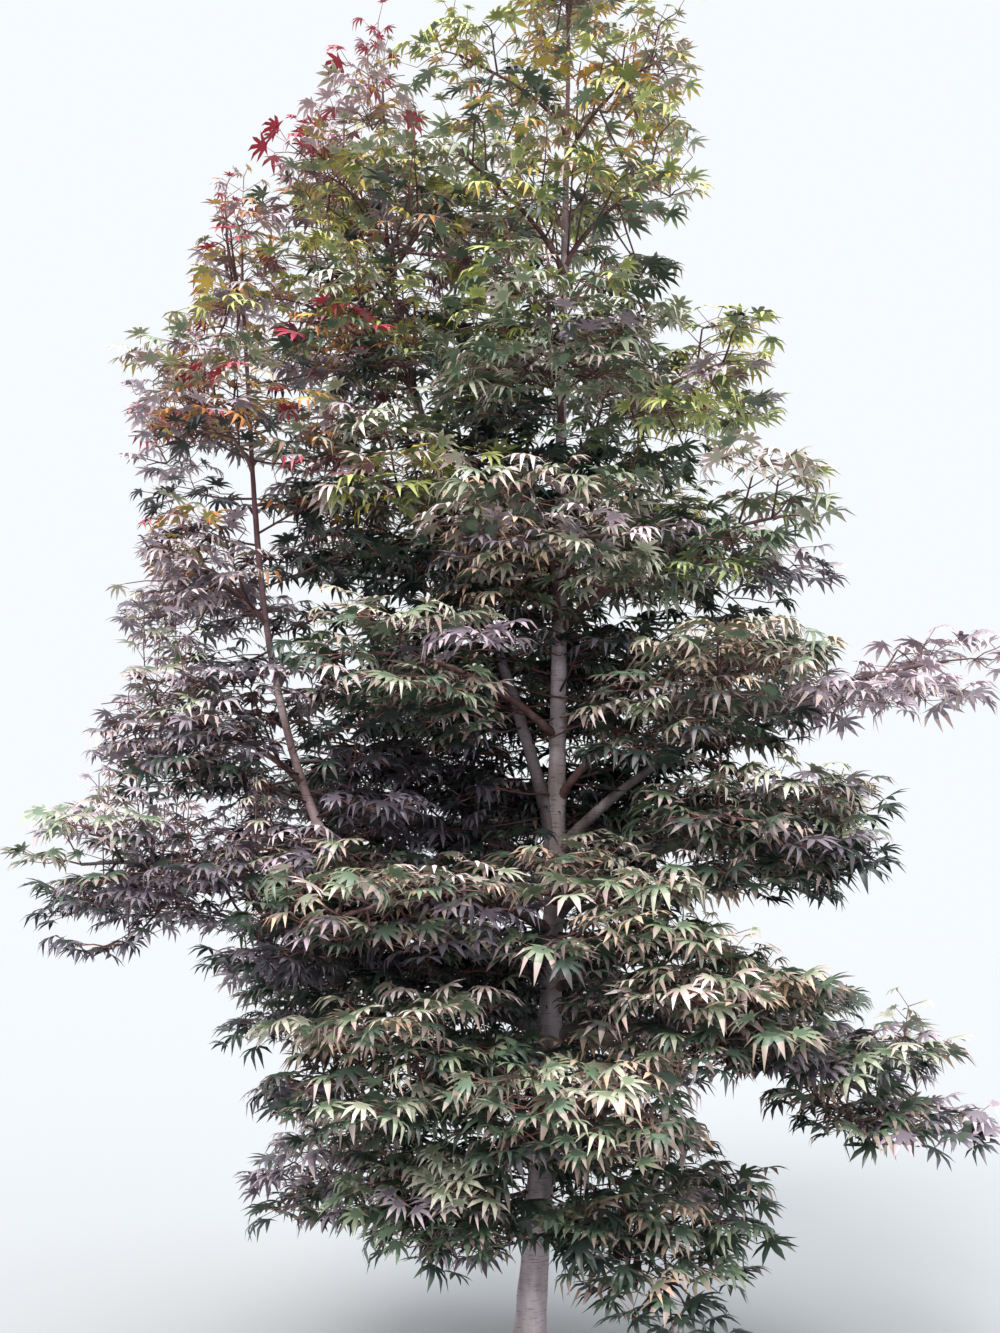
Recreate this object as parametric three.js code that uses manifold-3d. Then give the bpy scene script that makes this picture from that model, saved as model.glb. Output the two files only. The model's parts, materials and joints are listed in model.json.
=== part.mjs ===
// A full moon maple: a young, upright tree 2.8 m tall, with a slim leaning trunk, two more leaders on its
// left, and tiers of foliage on spreading boughs. Millimetres, +Z up. The origin is the middle of the flat
// cut under the trunk, at ground level. +X is the tree's right and -Y is its front.
//
// The trunk and each bough are tapered tubes bent along a curve. Each mass of foliage is one solid: a stem
// that goes on from its bough or springs from a leader, twigs that branch off it in pairs by a seeded rule,
// and broad five-lobed leaves with their hearts on the twigs' ends. Each leaf stands for a spray of the
// real, smaller leaves.

import * as THREE from 'three';
import { mergeVertices } from 'three/addons/utils/BufferGeometryUtils.js';
import Module from 'manifold-3d';

const wasm = await Module();
wasm.setup();
const { Manifold, Mesh } = wasm;

// The trunk
const TRUNK_HEIGHT = 2560; // where its leader ends, under the topmost mass
const TRUNK_RADIUS = 26; // above the root flare
const TRUNK_TIP_RADIUS = 3.6;
const TRUNK_TAPER = 1.1; // 1 would be a plain cone
const TRUNK_SIDES = 15;
const TRUNK_RINGS = 16;
const TRUNK_BUNCHING = 1.7; // draws the rings down towards the flare
const FLARE = 24; // how far the roots spread past the trunk at the ground
const FLARE_HEIGHT = 62;
const FLARE_LOBES = 5;
const LOBE_DEPTH = 0.15;
const LEAN = 0.07; // to the right, for each millimetre of height at the foot
const STRAIGHTENING = 12.5e-6; // how fast the lean fades with height
const WAVER = 7; // small bends of the trunk, back and forth
const WAVER_HEIGHT = 390;

// Leaders, boughs and stems
const GAP = 0.3; // between solids that would touch
const LEADER_SIDES = 7;
const LEADER_RINGS = 8;
const BOUGH_RADIUS = 4.6; // of a bough of no length, at its foot
const BOUGH_GROWTH = 0.009; // added for each millimetre of its reach
const BOUGH_SHARE = 0.85; // of its parent's radius, at most
const BOUGH_RISE = 24; // degrees by which a bough leaves above the line to its tip
const BOUGH_FALL = 20; // and arrives below that line
const STEEPEST = 88;
const BOUGH_SWAY = 0.16; // of its reach, to one side and back
const BOUGH_SIDES = 5;
const STEM_SIDES = 4;
const STEM_RINGS = 3;
const STEM_TIP_RADIUS = 2.8;
const LIMB_TAPER = 0.8; // under 1 thins a limb most near its foot

// Twigs
const PAIRS = 12; // that a stem tries to grow
const FIRST_PAIR = 0.88; // of the way along the stem
const GOLDEN = 0.618034; // spaces the pairs evenly, however many are kept
const PAIR_JITTER = 0.05;
const BARE_FOOT = 0.05; // of the stem
const BARE_TIP = 0.03;
const TWIG_RADIUS = 2.8;
const TWIG_SHARE = 0.62; // of its stem's radius, at most
const TWIG_TIP_RADIUS = 1.4;
const TWIG_LEAST = 46;
const TWIG_MOST = 210;
const TWIG_STEP = 10;
const TWIG_SHORTEST = 0.62; // of the room that it has
const TWIG_SPREAD = 58; // degrees between a twig and its stem
const SPREAD_JITTER = 24;
const PITCH_JITTER = 0.3; // of how much a twig climbs or falls

// Leaves
const LEAF_REACH = 152; // heart to tip of the middle lobe
const LEAF_THICKNESS = 5.5; // at the heart
const LEAF_CURL = 0.3; // how far the lobes' tips curl down, as a share of the reach
const CURL_POWER = 1.6;
const LEAF_HANG = [0.3, 1.05]; // how steeply a leaf hangs from its twig, least and most
const LEAF_ROLL = 44; // degrees that leaves are turned about their midribs, from side to side
const LEAF_SIZE = [0.9, 1.1]; // least and most
const LEAST_LEAF = 0.76; // a crowded leaf shrinks to this size before it is left out
const LEAF_SHRINK = 0.06;
const LEAF_CLEARANCE = 1;
const LEAVES_PER_BOX = 0.9e-6; // for each cubic millimetre of the box of half sizes that a tier fills
const LEAST_LEAVES = 3;
const HEART_LIFT = 25; // leaves hang, so their hearts lie in a space a little above the stem
const HEART_MARGIN = 45; // and past the two ends of the stem

// Half a leaf's outline, from the middle lobe's tip round to the left: degrees from the midrib, and reach.
const HALF_OUTLINE = [[0, 1], [27, 0.46], [55, 0.94], [120, 0.62]];

// Leaders: long limbs that turn upwards. The two angles are above the horizon, in degrees.
const LEADERS = [
  // name, parent, spring, tip, angle at the foot, angle at the tip, radius at the foot, at the tip
  ['left_leader', 'trunk', 930, [-275, 10, 2230], 77, 87, 13, 3.5],
  ['left_low_bough', 'trunk', 610, [-345, -100, 930], 14, 62, 13, 8.5],
  ['outer_leader', 'left_low_bough', null, [-528, -80, 1900], 64, 84, 8.5, 3.5],
];

// Tiers: a bough and its foliage, or foliage alone. spring is the height at which the wood leaves its
// parent, or null at the parent's tip. bearing is the way it grows: 0 right, 90 back, 180 left, 270 front.
// reach is how far out the wood goes, and height is where it ends. bare is the share of it that is a bough
// of its own, under the foliage. spread and depth are half the foliage's width and thickness.
const TIERS = [
  // name, parent, spring, bearing, reach, height, bare, spread, depth, tint
  ['skirt_left', 'trunk', 440, 222, 250, 330, 0, 125, 100, 'green'],
  ['skirt_right', 'trunk', 420, 322, 290, 265, 0, 145, 110, 'green'],
  ['skirt_back_left', 'trunk', 480, 163, 450, 330, 0, 145, 130, 'mauve'],

  ['low_left', 'trunk', 560, 221, 440, 560, 0.36, 135, 110, 'bronze'],
  ['low_front', 'trunk', 520, 275, 400, 505, 0, 140, 110, 'bronze'],
  ['low_front_right', 'trunk', 680, 311, 430, 640, 0.34, 155, 110, 'bronze'],
  ['low_right', 'trunk', 600, 349, 620, 500, 0.34, 170, 135, 'bronze'],
  ['low_right_back', 'trunk', 640, 33, 560, 590, 0.34, 175, 135, 'green'],
  ['low_back', 'trunk', 600, 96, 520, 560, 0.34, 175, 145, 'green'],
  ['low_back_left', 'trunk', 700, 153, 560, 640, 0.34, 165, 135, 'mauve'],

  ['left_spray', 'left_low_bough', 745, 199, 555, 890, 0.3, 140, 100, 'mauve'],
  ['left_front', 'trunk', 780, 226, 510, 800, 0, 140, 110, 'bronze'],
  ['front', 'trunk', 830, 286, 360, 800, 0, 140, 100, 'bronze'],
  ['right_mid', 'trunk', 800, 334, 490, 960, 0.36, 155, 120, 'green'],
  ['right_back', 'trunk', 860, 28, 540, 940, 0.32, 170, 135, 'green'],
  ['back', 'trunk', 900, 88, 520, 960, 0.32, 170, 135, 'green'],
  ['back_left', 'trunk', 880, 146, 560, 980, 0.32, 170, 135, 'mauve'],

  ['right_spray', 'trunk', 915, 347, 700, 1245, 0.5, 105, 80, 'mauve'],
  ['right_front', 'trunk', 1010, 321, 410, 1210, 0, 135, 120, 'bronze'],
  ['front_left', 'trunk', 1130, 220, 440, 1235, 0, 145, 120, 'bronze'],
  ['outer_low', 'outer_leader', 1040, 188, 290, 1150, 0, 155, 135, 'mauve'],
  ['right_back_mid', 'trunk', 1150, 30, 480, 1290, 0, 175, 145, 'green'],
  ['back_mid', 'trunk', 1210, 108, 450, 1310, 0, 185, 145, 'green'],

  ['right_upper', 'trunk', 1330, 338, 430, 1510, 0, 145, 135, 'gold'],
  ['front_upper', 'trunk', 1350, 262, 330, 1480, 0, 145, 130, 'bronze'],
  ['outer_mid', 'outer_leader', 1330, 178, 210, 1440, 0, 165, 145, 'mauve'],
  ['left_inner', 'left_leader', 1470, 205, 290, 1640, 0, 135, 135, 'bronze'],
  ['back_upper', 'trunk', 1450, 62, 400, 1600, 0, 175, 155, 'green'],
  ['back_left_upper', 'left_leader', 1400, 145, 330, 1590, 0, 175, 155, 'green'],

  ['right_high', 'trunk', 1640, 345, 330, 1840, 0, 145, 145, 'gold'],
  ['front_high', 'trunk', 1740, 262, 230, 1880, 0, 145, 145, 'green'],
  ['outer_high', 'outer_leader', 1620, 215, 150, 1740, 0, 145, 135, 'gold'],
  ['outer_tip', 'outer_leader', null, 188, 40, 2020, 0, 125, 155, 'mauve'],
  ['left_high', 'left_leader', 1790, 200, 230, 1960, 0, 135, 145, 'gold'],
  ['back_high', 'trunk', 1820, 85, 270, 2000, 0, 165, 160, 'green'],

  ['right_crown', 'trunk', 2080, 352, 205, 2260, 0, 125, 135, 'gold'],
  ['front_crown', 'trunk', 2060, 215, 230, 2230, 0, 125, 135, 'gold'],
  ['left_crown', 'left_leader', 2060, 325, 150, 2190, 0, 115, 135, 'gold'],
  ['left_outer_crown', 'left_leader', 2120, 170, 150, 2270, 0, 115, 135, 'gold'],
  ['left_tip', 'left_leader', null, 175, 25, 2480, 0, 105, 160, 'gold'],
  ['back_crown', 'trunk', 2150, 115, 200, 2330, 0, 135, 145, 'green'],
  ['top_right', 'trunk', 2310, 350, 185, 2510, 0, 105, 130, 'gold'],
  ['top_left', 'trunk', 2360, 190, 220, 2520, 0, 105, 130, 'gold'],
  ['top', 'trunk', null, 180, 12, 2770, 0, 105, 155, 'gold'],
];

const COLOURS = {
  bark: { color: 0x8d7f73, roughness: 0.85, metalness: 0 },
  green: { color: 0x4c6138, roughness: 0.6, metalness: 0 },
  bronze: { color: 0xa98f74, roughness: 0.55, metalness: 0 },
  mauve: { color: 0x6f5a66, roughness: 0.6, metalness: 0 },
  gold: { color: 0x96883c, roughness: 0.6, metalness: 0 },
};

const UP = new THREE.Vector3(0, 0, 1);
const { degToRad: radians, radToDeg: degrees, lerp, clamp } = THREE.MathUtils;
const vector = (x, y, z) => new THREE.Vector3(x, y, z);

// Numbers from 0 to 1, always the same ones for a seed.
const FIRST_SEED = 9001;
const SEED_STEP = 77;
const SEED_FACTOR = 1664525;
const SEED_TERM = 1013904223;
const SEED_RANGE = 2 ** 32;

function dice(seed) {
  let state = seed;
  return () => {
    state = (Math.imul(state, SEED_FACTOR) + SEED_TERM) >>> 0;
    return state / SEED_RANGE;
  };
}

// A closed geometry as a solid, with the vertices that its faces share merged.
function solidOf(geometry) {
  geometry.deleteAttribute('normal');
  geometry.deleteAttribute('uv');
  const merged = mergeVertices(geometry, 1e-4);
  return new Manifold(new Mesh({
    numProp: 3,
    vertProperties: new Float32Array(merged.attributes.position.array),
    triVerts: new Uint32Array(merged.index.array),
  }));
}

function geometryOf(solid) {
  const mesh = solid.getMesh();
  const geometry = new THREE.BufferGeometry();
  geometry.setAttribute('position', new THREE.BufferAttribute(new Float32Array(mesh.vertProperties), 3));
  geometry.setIndex(new THREE.BufferAttribute(new Uint32Array(mesh.triVerts), 1));
  geometry.computeVertexNormals();
  return geometry;
}

// A solid without its loose scraps, and with its hollows filled.
function largestBody(solid) {
  return solid.decompose().sort((a, b) => b.volume() - a.volume())[0];
}

// A cylinder bent along curve between two shares of its length. radiusAt(share, turn) is its radius, and
// across is a level direction that is never along the curve. Its rings are drawn towards the foot where
// bunch is over 1, and its tip is moved on along the curve by extra.
function tube({ curve, from, to, radiusAt, across, sides, rings, bunch = 1, extra = 0 }) {
  const geometry = new THREE.CylinderGeometry(1, 1, 1, sides, rings, false, Math.PI / sides);
  const place = geometry.attributes.position;
  for (let i = 0; i < place.count; i++) {
    const share = lerp(from, to, (place.getY(i) + 0.5) ** bunch);
    const onRim = Math.hypot(place.getX(i), place.getZ(i)) > 0.5;
    const turn = Math.atan2(place.getZ(i), place.getX(i));
    const along = curve.getTangent(share);
    const side = across.clone().addScaledVector(along, -across.dot(along)).normalize();
    const other = side.clone().cross(along);
    const radius = onRim ? radiusAt(share, turn) : 0;
    const point = curve.getPoint(share);
    if (share === to) {
      point.addScaledVector(along, extra);
    }
    point.addScaledVector(side, radius * Math.cos(turn)).addScaledVector(other, radius * Math.sin(turn));
    place.setXYZ(i, point.x, point.y, point.z);
  }
  return solidOf(geometry);
}

// The middle of a tube at a share of its curve: between its rings a tube runs straight.
function axisPoint({ curve, from, to, rings }, share) {
  const place = (share - from) / (to - from) * rings;
  const ring = clamp(Math.floor(place), 0, rings - 1);
  const middle = (index) => curve.getPoint(lerp(from, to, index / rings));
  return middle(ring).lerp(middle(ring + 1), place - ring);
}

// The trunk's middle line, from the ground to the end of its leader.
class TrunkLine extends THREE.Curve {
  getPoint(share, target = vector(0, 0, 0)) {
    const height = share * TRUNK_HEIGHT;
    const waver = WAVER * Math.sin(height / WAVER_HEIGHT) * Math.min(1, height / WAVER_HEIGHT);
    return target.set(height * (LEAN - STRAIGHTENING * height) + waver, -waver, height);
  }

  // The trunk leans so little that its sections are taken level, and the one at the ground must be.
  getTangent(share, target = vector(0, 0, 0)) {
    return target.copy(UP);
  }
}

function trunkRadius(share, turn) {
  const flare = Math.exp(-share * TRUNK_HEIGHT / FLARE_HEIGHT);
  const lobes = 1 + LOBE_DEPTH * flare * Math.cos(FLARE_LOBES * turn);
  const shaft = lerp(TRUNK_TIP_RADIUS, TRUNK_RADIUS, (1 - share) ** TRUNK_TAPER);
  return (shaft + FLARE * flare) * lobes;
}

// A round limb's radius along its curve.
function taper(foot, tip) {
  return (share) => lerp(foot, tip, share ** LIMB_TAPER);
}

// The curve of a limb that leaves start and arrives at tip at given angles above the horizon. across is
// level and square to the way it grows, and sway bends it to that side and back.
function course(start, tip, leave, arrive, across, sway) {
  const outward = across.clone().cross(UP);
  const third = start.distanceTo(tip) / 3;
  const ahead = (angle) => {
    const level = outward.clone().multiplyScalar(Math.cos(radians(angle)));
    return level.setZ(Math.sin(radians(angle)));
  };
  const first = start.clone().addScaledVector(ahead(leave), third).addScaledVector(across, sway);
  const second = tip.clone().addScaledVector(ahead(arrive), -third).addScaledVector(across, -sway);
  return new THREE.CubicBezierCurve3(start, first, second, tip);
}

const limbs = new Map();

// Keeps a limb by its name, as a solid and as a cutter that is a gap larger. What springs from the limb is
// cut by the cutter, and so is the limb by its parent's.
function addLimb(name, shape, parentCutter) {
  const wider = (share, turn) => shape.radiusAt(share, turn) + GAP;
  const whole = tube(shape);
  const solid = parentCutter ? largestBody(whole.subtract(parentCutter)) : whole;
  const cutter = tube({ ...shape, radiusAt: wider, extra: GAP });
  limbs.set(name, { ...shape, solid, cutter });
}

// The share of a limb's curve at a height. A limb climbs wherever something springs from it.
function shareAt(limb, height) {
  let low = limb.from;
  let high = limb.to;
  for (let halving = 0; halving < 40; halving++) {
    const middle = (low + high) / 2;
    if (limb.curve.getPoint(middle).z < height) {
      low = middle;
    } else {
      high = middle;
    }
  }
  return low;
}

// Where wood leaves its parent: on the parent's middle line, or a gap past its tip. radius is the parent's.
function springFrom(parent, height) {
  if (height === null) {
    const past = parent.curve.getTangent(parent.to).multiplyScalar(GAP);
    return { start: parent.curve.getPoint(parent.to).add(past), radius: parent.radiusAt(parent.to, 0) };
  }
  const share = shareAt(parent, height);
  return { start: parent.curve.getPoint(share), radius: BOUGH_SHARE * parent.radiusAt(share, 0) };
}

function addTrunk() {
  const shape = { curve: new TrunkLine(), from: 0, to: 1, radiusAt: trunkRadius, across: vector(0, 1, 0) };
  addLimb('trunk', { ...shape, sides: TRUNK_SIDES, rings: TRUNK_RINGS, bunch: TRUNK_BUNCHING }, null);
}

function addLeader([name, parentName, spring, tipPlace, leave, arrive, foot, end]) {
  const parent = limbs.get(parentName);
  const { start } = springFrom(parent, spring);
  const tip = vector(...tipPlace);
  const across = UP.clone().cross(tip.clone().sub(start).setZ(0).normalize());
  const curve = course(start, tip, leave, arrive, across, 0);
  const shape = { curve, from: 0, to: 1, radiusAt: taper(foot, end), across };
  addLimb(name, { ...shape, sides: LEADER_SIDES, rings: LEADER_RINGS }, parent.cutter);
}

// The space that a tier's foliage keeps to: an ellipsoid along its stem.
function spaceAlong(entry, tip, across, spread, depth) {
  const forward = tip.clone().sub(entry);
  const half = [forward.length() / 2 + HEART_MARGIN, spread, depth];
  forward.normalize();
  const centre = entry.clone().lerp(tip, 0.5).addScaledVector(UP, HEART_LIFT);
  return { centre, forward, side: across, over: forward.clone().cross(across), half };
}

// Plans a tier: its curve, its stem and the space that it fills, and adds its bough where it has one.
function planTier([name, parentName, spring, bearing, reach, height, bare, spread, depth, tint], index) {
  const roll = dice(FIRST_SEED + index * SEED_STEP);
  const parent = limbs.get(parentName);
  const { start, radius } = springFrom(parent, spring);
  const across = vector(-Math.sin(radians(bearing)), Math.cos(radians(bearing)), 0);
  const tip = start.clone().addScaledVector(across.clone().cross(UP), reach).setZ(height);
  const climb = degrees(Math.atan2(height - start.z, reach));
  const sway = (roll() - 0.5) * BOUGH_SWAY * reach;
  const curve = course(start, tip, Math.min(climb + BOUGH_RISE, STEEPEST), climb - BOUGH_FALL, across, sway);
  const radiusAt = taper(Math.min(BOUGH_RADIUS + BOUGH_GROWTH * reach, radius), STEM_TIP_RADIUS);
  const shape = { curve, from: bare, to: 1, radiusAt, across, sides: STEM_SIDES, rings: STEM_RINGS };
  if (bare > 0) {
    addLimb(`${name}_bough`, { ...shape, from: 0, to: bare, sides: BOUGH_SIDES }, parent.cutter);
    shape.from += GAP / curve.getLength();
  }
  const stem = bare > 0 ? tube(shape) : largestBody(tube(shape).subtract(parent.cutter));
  const space = spaceAlong(curve.getPoint(bare), tip, across, spread, depth);
  return { name, roll, shape, stem, space, climb: depth / spread, tint };
}

// How far out a point lies in a space: under 1 is inside.
function depthIn(space, point) {
  const away = point.clone().sub(space.centre);
  const [long, wide, high] = space.half;
  return Math.hypot(away.dot(space.forward) / long, away.dot(space.side) / wide, away.dot(space.over) / high);
}

// Whether a point lies in a tier's own space, and deeper than in any neighbour's.
function owns(tier, tiers, point) {
  const own = depthIn(tier.space, point);
  return own < 1 && tiers.every((other) => other === tier || depthIn(other.space, point) > own);
}

// How far a twig may run before its leaf's heart would leave the tier's space.
function roomFor(space, start, heading) {
  let room = TWIG_LEAST;
  const fits = (far) => depthIn(space, start.clone().addScaledVector(heading, far)) < 1;
  while (room < TWIG_MOST && fits(room + TWIG_STEP)) {
    room += TWIG_STEP;
  }
  return room;
}

// The leaf at the tip of a tier's stem, and then the twigs that the stem could grow, each with its leaf.
function sprigsOf({ roll, shape, space, climb }) {
  const drooping = (heading) => heading.clone().setZ(0).normalize().setZ(-lerp(...LEAF_HANG, roll()));
  const tilt = () => (roll() - 0.5) * LEAF_ROLL;
  const tipHeading = drooping(shape.curve.getTangent(1));
  const sprigs = [{ start: null, heart: shape.curve.getPoint(1), heading: tipHeading, tilt: tilt(), size: 1 }];
  for (let pair = 0; pair < PAIRS; pair++) {
    const way = (FIRST_PAIR + pair * GOLDEN + PAIR_JITTER * roll()) % 1;
    const share = lerp(shape.from + BARE_FOOT, 1 - BARE_TIP, way);
    const start = axisPoint(shape, share);
    const along = shape.curve.getTangent(share);
    const radius = Math.min(TWIG_RADIUS, TWIG_SHARE * shape.radiusAt(share));
    for (const hand of [1, -1]) {
      const spread = radians(TWIG_SPREAD + SPREAD_JITTER * (roll() - 0.5));
      const pitch = (pair % 3 - 1) * climb + PITCH_JITTER * (roll() - 0.5);
      const heading = along.clone().multiplyScalar(Math.cos(spread)).addScaledVector(UP, pitch);
      heading.addScaledVector(shape.across, hand * Math.sin(spread)).normalize();
      const length = roomFor(space, start, heading) * lerp(TWIG_SHORTEST, 1, roll());
      const heart = start.clone().addScaledVector(heading, length);
      const size = lerp(...LEAF_SIZE, roll());
      sprigs.push({ start, heart, heading: drooping(heading), tilt: tilt(), size, radius });
    }
  }
  return sprigs;
}

// A three-sided twig that ends inside the heart of its leaf.
function twigSolid(start, heart, radius) {
  const along = heart.clone().sub(start);
  const length = along.length();
  const turn = new THREE.Quaternion().setFromUnitVectors(vector(0, 1, 0), along.normalize());
  const twig = new THREE.CylinderGeometry(TWIG_TIP_RADIUS, radius, length, 3).translate(0, length / 2, 0);
  return solidOf(twig.applyQuaternion(turn).translate(start.x, start.y, start.z));
}

const OUTLINE = [
  ...HALF_OUTLINE,
  ...HALF_OUTLINE.slice(1).reverse().map(([angle, reach]) => [-angle, reach]),
];

// A thin five-lobed leaf with its heart at the origin, its midrib along +X and its lobes curling down. It
// is a sphere of two rings of faces, flattened, with its equator moved to the leaf's outline.
function leafGeometry(reach) {
  const geometry = new THREE.SphereGeometry(1, OUTLINE.length, 2).rotateX(Math.PI / 2);
  const place = geometry.attributes.position;
  const step = (2 * Math.PI) / OUTLINE.length;
  for (let i = 0; i < place.count; i++) {
    if (Math.abs(place.getZ(i)) > 0.5) {
      place.setXYZ(i, 0, 0, Math.sign(place.getZ(i)) * LEAF_THICKNESS / 2);
      continue;
    }
    const turn = Math.atan2(place.getY(i), place.getX(i)) + Math.PI;
    const [angle, out] = OUTLINE[Math.round(turn / step) % OUTLINE.length];
    const x = reach * out * Math.cos(radians(angle));
    const y = reach * out * Math.sin(radians(angle));
    place.setXYZ(i, x, y, -LEAF_CURL * reach * out ** CURL_POWER);
  }
  return geometry;
}

// A leaf with its heart at a point, headed one way, and tilted by some degrees about its midrib.
function leafSolid(heart, heading, tilt, reach) {
  const x = heading.clone().normalize();
  const y = UP.clone().cross(x).normalize().applyAxisAngle(x, radians(tilt));
  const frame = new THREE.Matrix4().makeBasis(x, y, x.clone().cross(y)).setPosition(heart);
  return solidOf(leafGeometry(reach).applyMatrix4(frame));
}

// The limbs, stems, twigs and leaves already placed, so that a new one can be set clear of them.
const placed = [];

function boxOf(solid) {
  const { min, max } = solid.boundingBox();
  return new THREE.Box3(vector(...min), vector(...max)).expandByScalar(LEAF_CLEARANCE);
}

function keep(solid, owner, isLeaf) {
  placed.push({ solid, box: boxOf(solid), owner, isLeaf });
}

// Whether a new twig or leaf is clear of all that is placed, apart from any pieces that it may join.
function isClear(solid, mayJoin) {
  const box = boxOf(solid);
  const near = placed.filter((piece) => piece.box.intersectsBox(box) && !mayJoin(piece));
  return near.every((piece) => solid.minGap(piece.solid, LEAF_CLEARANCE) >= LEAF_CLEARANCE);
}

// The largest leaf for a sprig that is clear, or null. The leaf at a stem's tip may join its stem.
function clearLeaf(sprig, isOwnWood) {
  const mayJoin = (piece) => sprig.start === null && isOwnWood(piece);
  for (let size = sprig.size; size >= LEAST_LEAF; size -= LEAF_SHRINK) {
    const leaf = leafSolid(sprig.heart, sprig.heading, sprig.tilt, LEAF_REACH * size);
    if (isClear(leaf, mayJoin)) {
      return leaf;
    }
  }
  return null;
}

// Grows one tier's foliage and returns its solid.
function growTier(tier, tiers) {
  const isOwnWood = (piece) => piece.owner === tier.name && !piece.isLeaf;
  const [long, wide, high] = tier.space.half;
  const first = placed.length;
  let wanted = LEAST_LEAVES + Math.round(LEAVES_PER_BOX * long * wide * high);
  for (const sprig of sprigsOf(tier)) {
    if (wanted === 0 || !owns(tier, tiers, sprig.heart)) {
      continue;
    }
    const leaf = clearLeaf(sprig, isOwnWood);
    const twig = sprig.start ? twigSolid(sprig.start, sprig.heart, sprig.radius) : null;
    if (!leaf || (twig && !isClear(twig, isOwnWood))) {
      continue;
    }
    if (twig) {
      keep(twig, tier.name, false);
    }
    keep(leaf, tier.name, true);
    wanted -= 1;
  }
  const parts = placed.slice(first).map((piece) => piece.solid);
  return largestBody(Manifold.union([tier.stem, ...parts]));
}

function addMesh(group, name, solid, kind) {
  const mesh = new THREE.Mesh(geometryOf(solid), new THREE.MeshStandardMaterial(COLOURS[kind]));
  mesh.name = name;
  group.add(mesh);
}

addTrunk();
LEADERS.forEach(addLeader);
const tiers = TIERS.map(planTier);
for (const limb of limbs.values()) {
  keep(limb.solid, null, false);
}
for (const tier of tiers) {
  keep(tier.stem, tier.name, false);
}

const tree = new THREE.Group();
for (const [name, limb] of limbs) {
  addMesh(tree, name, limb.solid, 'bark');
}
for (const tier of tiers) {
  addMesh(tree, `${tier.name}_foliage`, growTier(tier, tiers), tier.tint);
}

export default tree;
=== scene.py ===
# %% [markdown]
# # A young full moon maple
#
# The imported model of a young maple holds its trunk, leaders and boughs and, with broad leaves that each
# stand for a spray, its masses of foliage. This lesson gives each of them what the eye sees on the living
# tree: smooth grey bark with some relief, thin reddish twigs, and thousands of small lobed leaves in
# layered, drooping sprays. The model's box is kept, and the leaves are held within it.

# %% Load the imported model
import json
import math

import bpy
import numpy as np
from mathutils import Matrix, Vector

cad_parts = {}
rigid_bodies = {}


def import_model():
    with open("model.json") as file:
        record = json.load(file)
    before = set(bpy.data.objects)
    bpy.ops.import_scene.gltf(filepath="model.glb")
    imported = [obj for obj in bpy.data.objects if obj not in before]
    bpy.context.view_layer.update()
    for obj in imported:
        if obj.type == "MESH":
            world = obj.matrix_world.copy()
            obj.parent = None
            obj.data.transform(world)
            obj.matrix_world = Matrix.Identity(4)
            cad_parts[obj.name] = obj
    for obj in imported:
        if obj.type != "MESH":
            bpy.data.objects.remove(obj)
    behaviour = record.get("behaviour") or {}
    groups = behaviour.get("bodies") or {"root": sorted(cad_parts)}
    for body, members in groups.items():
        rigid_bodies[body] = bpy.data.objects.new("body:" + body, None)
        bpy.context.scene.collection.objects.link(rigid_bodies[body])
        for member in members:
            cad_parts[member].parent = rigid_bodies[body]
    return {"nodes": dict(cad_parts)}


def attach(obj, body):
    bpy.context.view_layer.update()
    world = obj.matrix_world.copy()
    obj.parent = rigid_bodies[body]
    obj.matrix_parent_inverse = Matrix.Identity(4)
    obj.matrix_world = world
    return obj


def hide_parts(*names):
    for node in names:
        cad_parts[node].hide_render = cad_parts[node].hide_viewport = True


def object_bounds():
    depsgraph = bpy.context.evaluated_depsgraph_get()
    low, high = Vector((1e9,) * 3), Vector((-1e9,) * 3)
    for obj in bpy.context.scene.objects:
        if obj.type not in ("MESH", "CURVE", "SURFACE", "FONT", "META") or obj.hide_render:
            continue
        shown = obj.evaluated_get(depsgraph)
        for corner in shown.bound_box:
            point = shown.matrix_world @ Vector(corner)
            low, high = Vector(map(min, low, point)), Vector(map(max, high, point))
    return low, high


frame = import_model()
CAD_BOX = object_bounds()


def to_millimetre(box):
    """A box's two corners, rounded to the millimetre."""
    return [tuple(round(x, 3) for x in corner) for corner in box]


print("nodes", len(frame["nodes"]), "box", to_millimetre(CAD_BOX))

# %% [markdown]
# ## The camera
#
# The camera comes first, because the foliage is thinned where bare wood or open sky shows in the
# photograph, and that needs to know where a point of the tree falls in the picture. It stands 2.4 m in
# front of the trunk, a little below a person's waist, and looks up with a 35 mm lens, from just above the
# tree's foot to just below its tip.

# %% Set up the camera
def new_object(name, data):
    """A new object in the scene that holds a camera, a lamp or a mesh."""
    made = bpy.data.objects.new(name, data)
    bpy.context.collection.objects.link(made)
    return made


PICTURE = (1000, 1333)
CAMERA_PLACE = np.array([-0.042, -2.4, 0.8])
CAMERA_PITCH = math.radians(11)
CAMERA_LENS = 35.3
SENSOR = 36

camera_data = bpy.data.cameras.new("camera")
camera_data.lens = CAMERA_LENS
camera_data.sensor_width = SENSOR
camera = new_object("camera", camera_data)
camera.location = CAMERA_PLACE
camera.rotation_euler = (math.pi / 2 + CAMERA_PITCH, 0, 0)
bpy.context.scene.camera = camera


def seen_at(point):
    """Where a point falls in the picture, in its pixels from the top left corner."""
    away = point - CAMERA_PLACE
    ahead = away[1] * math.cos(CAMERA_PITCH) + away[2] * math.sin(CAMERA_PITCH)
    above = away[2] * math.cos(CAMERA_PITCH) - away[1] * math.sin(CAMERA_PITCH)
    scale = CAMERA_LENS / SENSOR * PICTURE[1] / ahead
    return PICTURE[0] / 2 + away[0] * scale, PICTURE[1] / 2 - above * scale


print("the trunk at 1 m is seen at", seen_at(np.array([0.06, 0, 1.0])))

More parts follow.
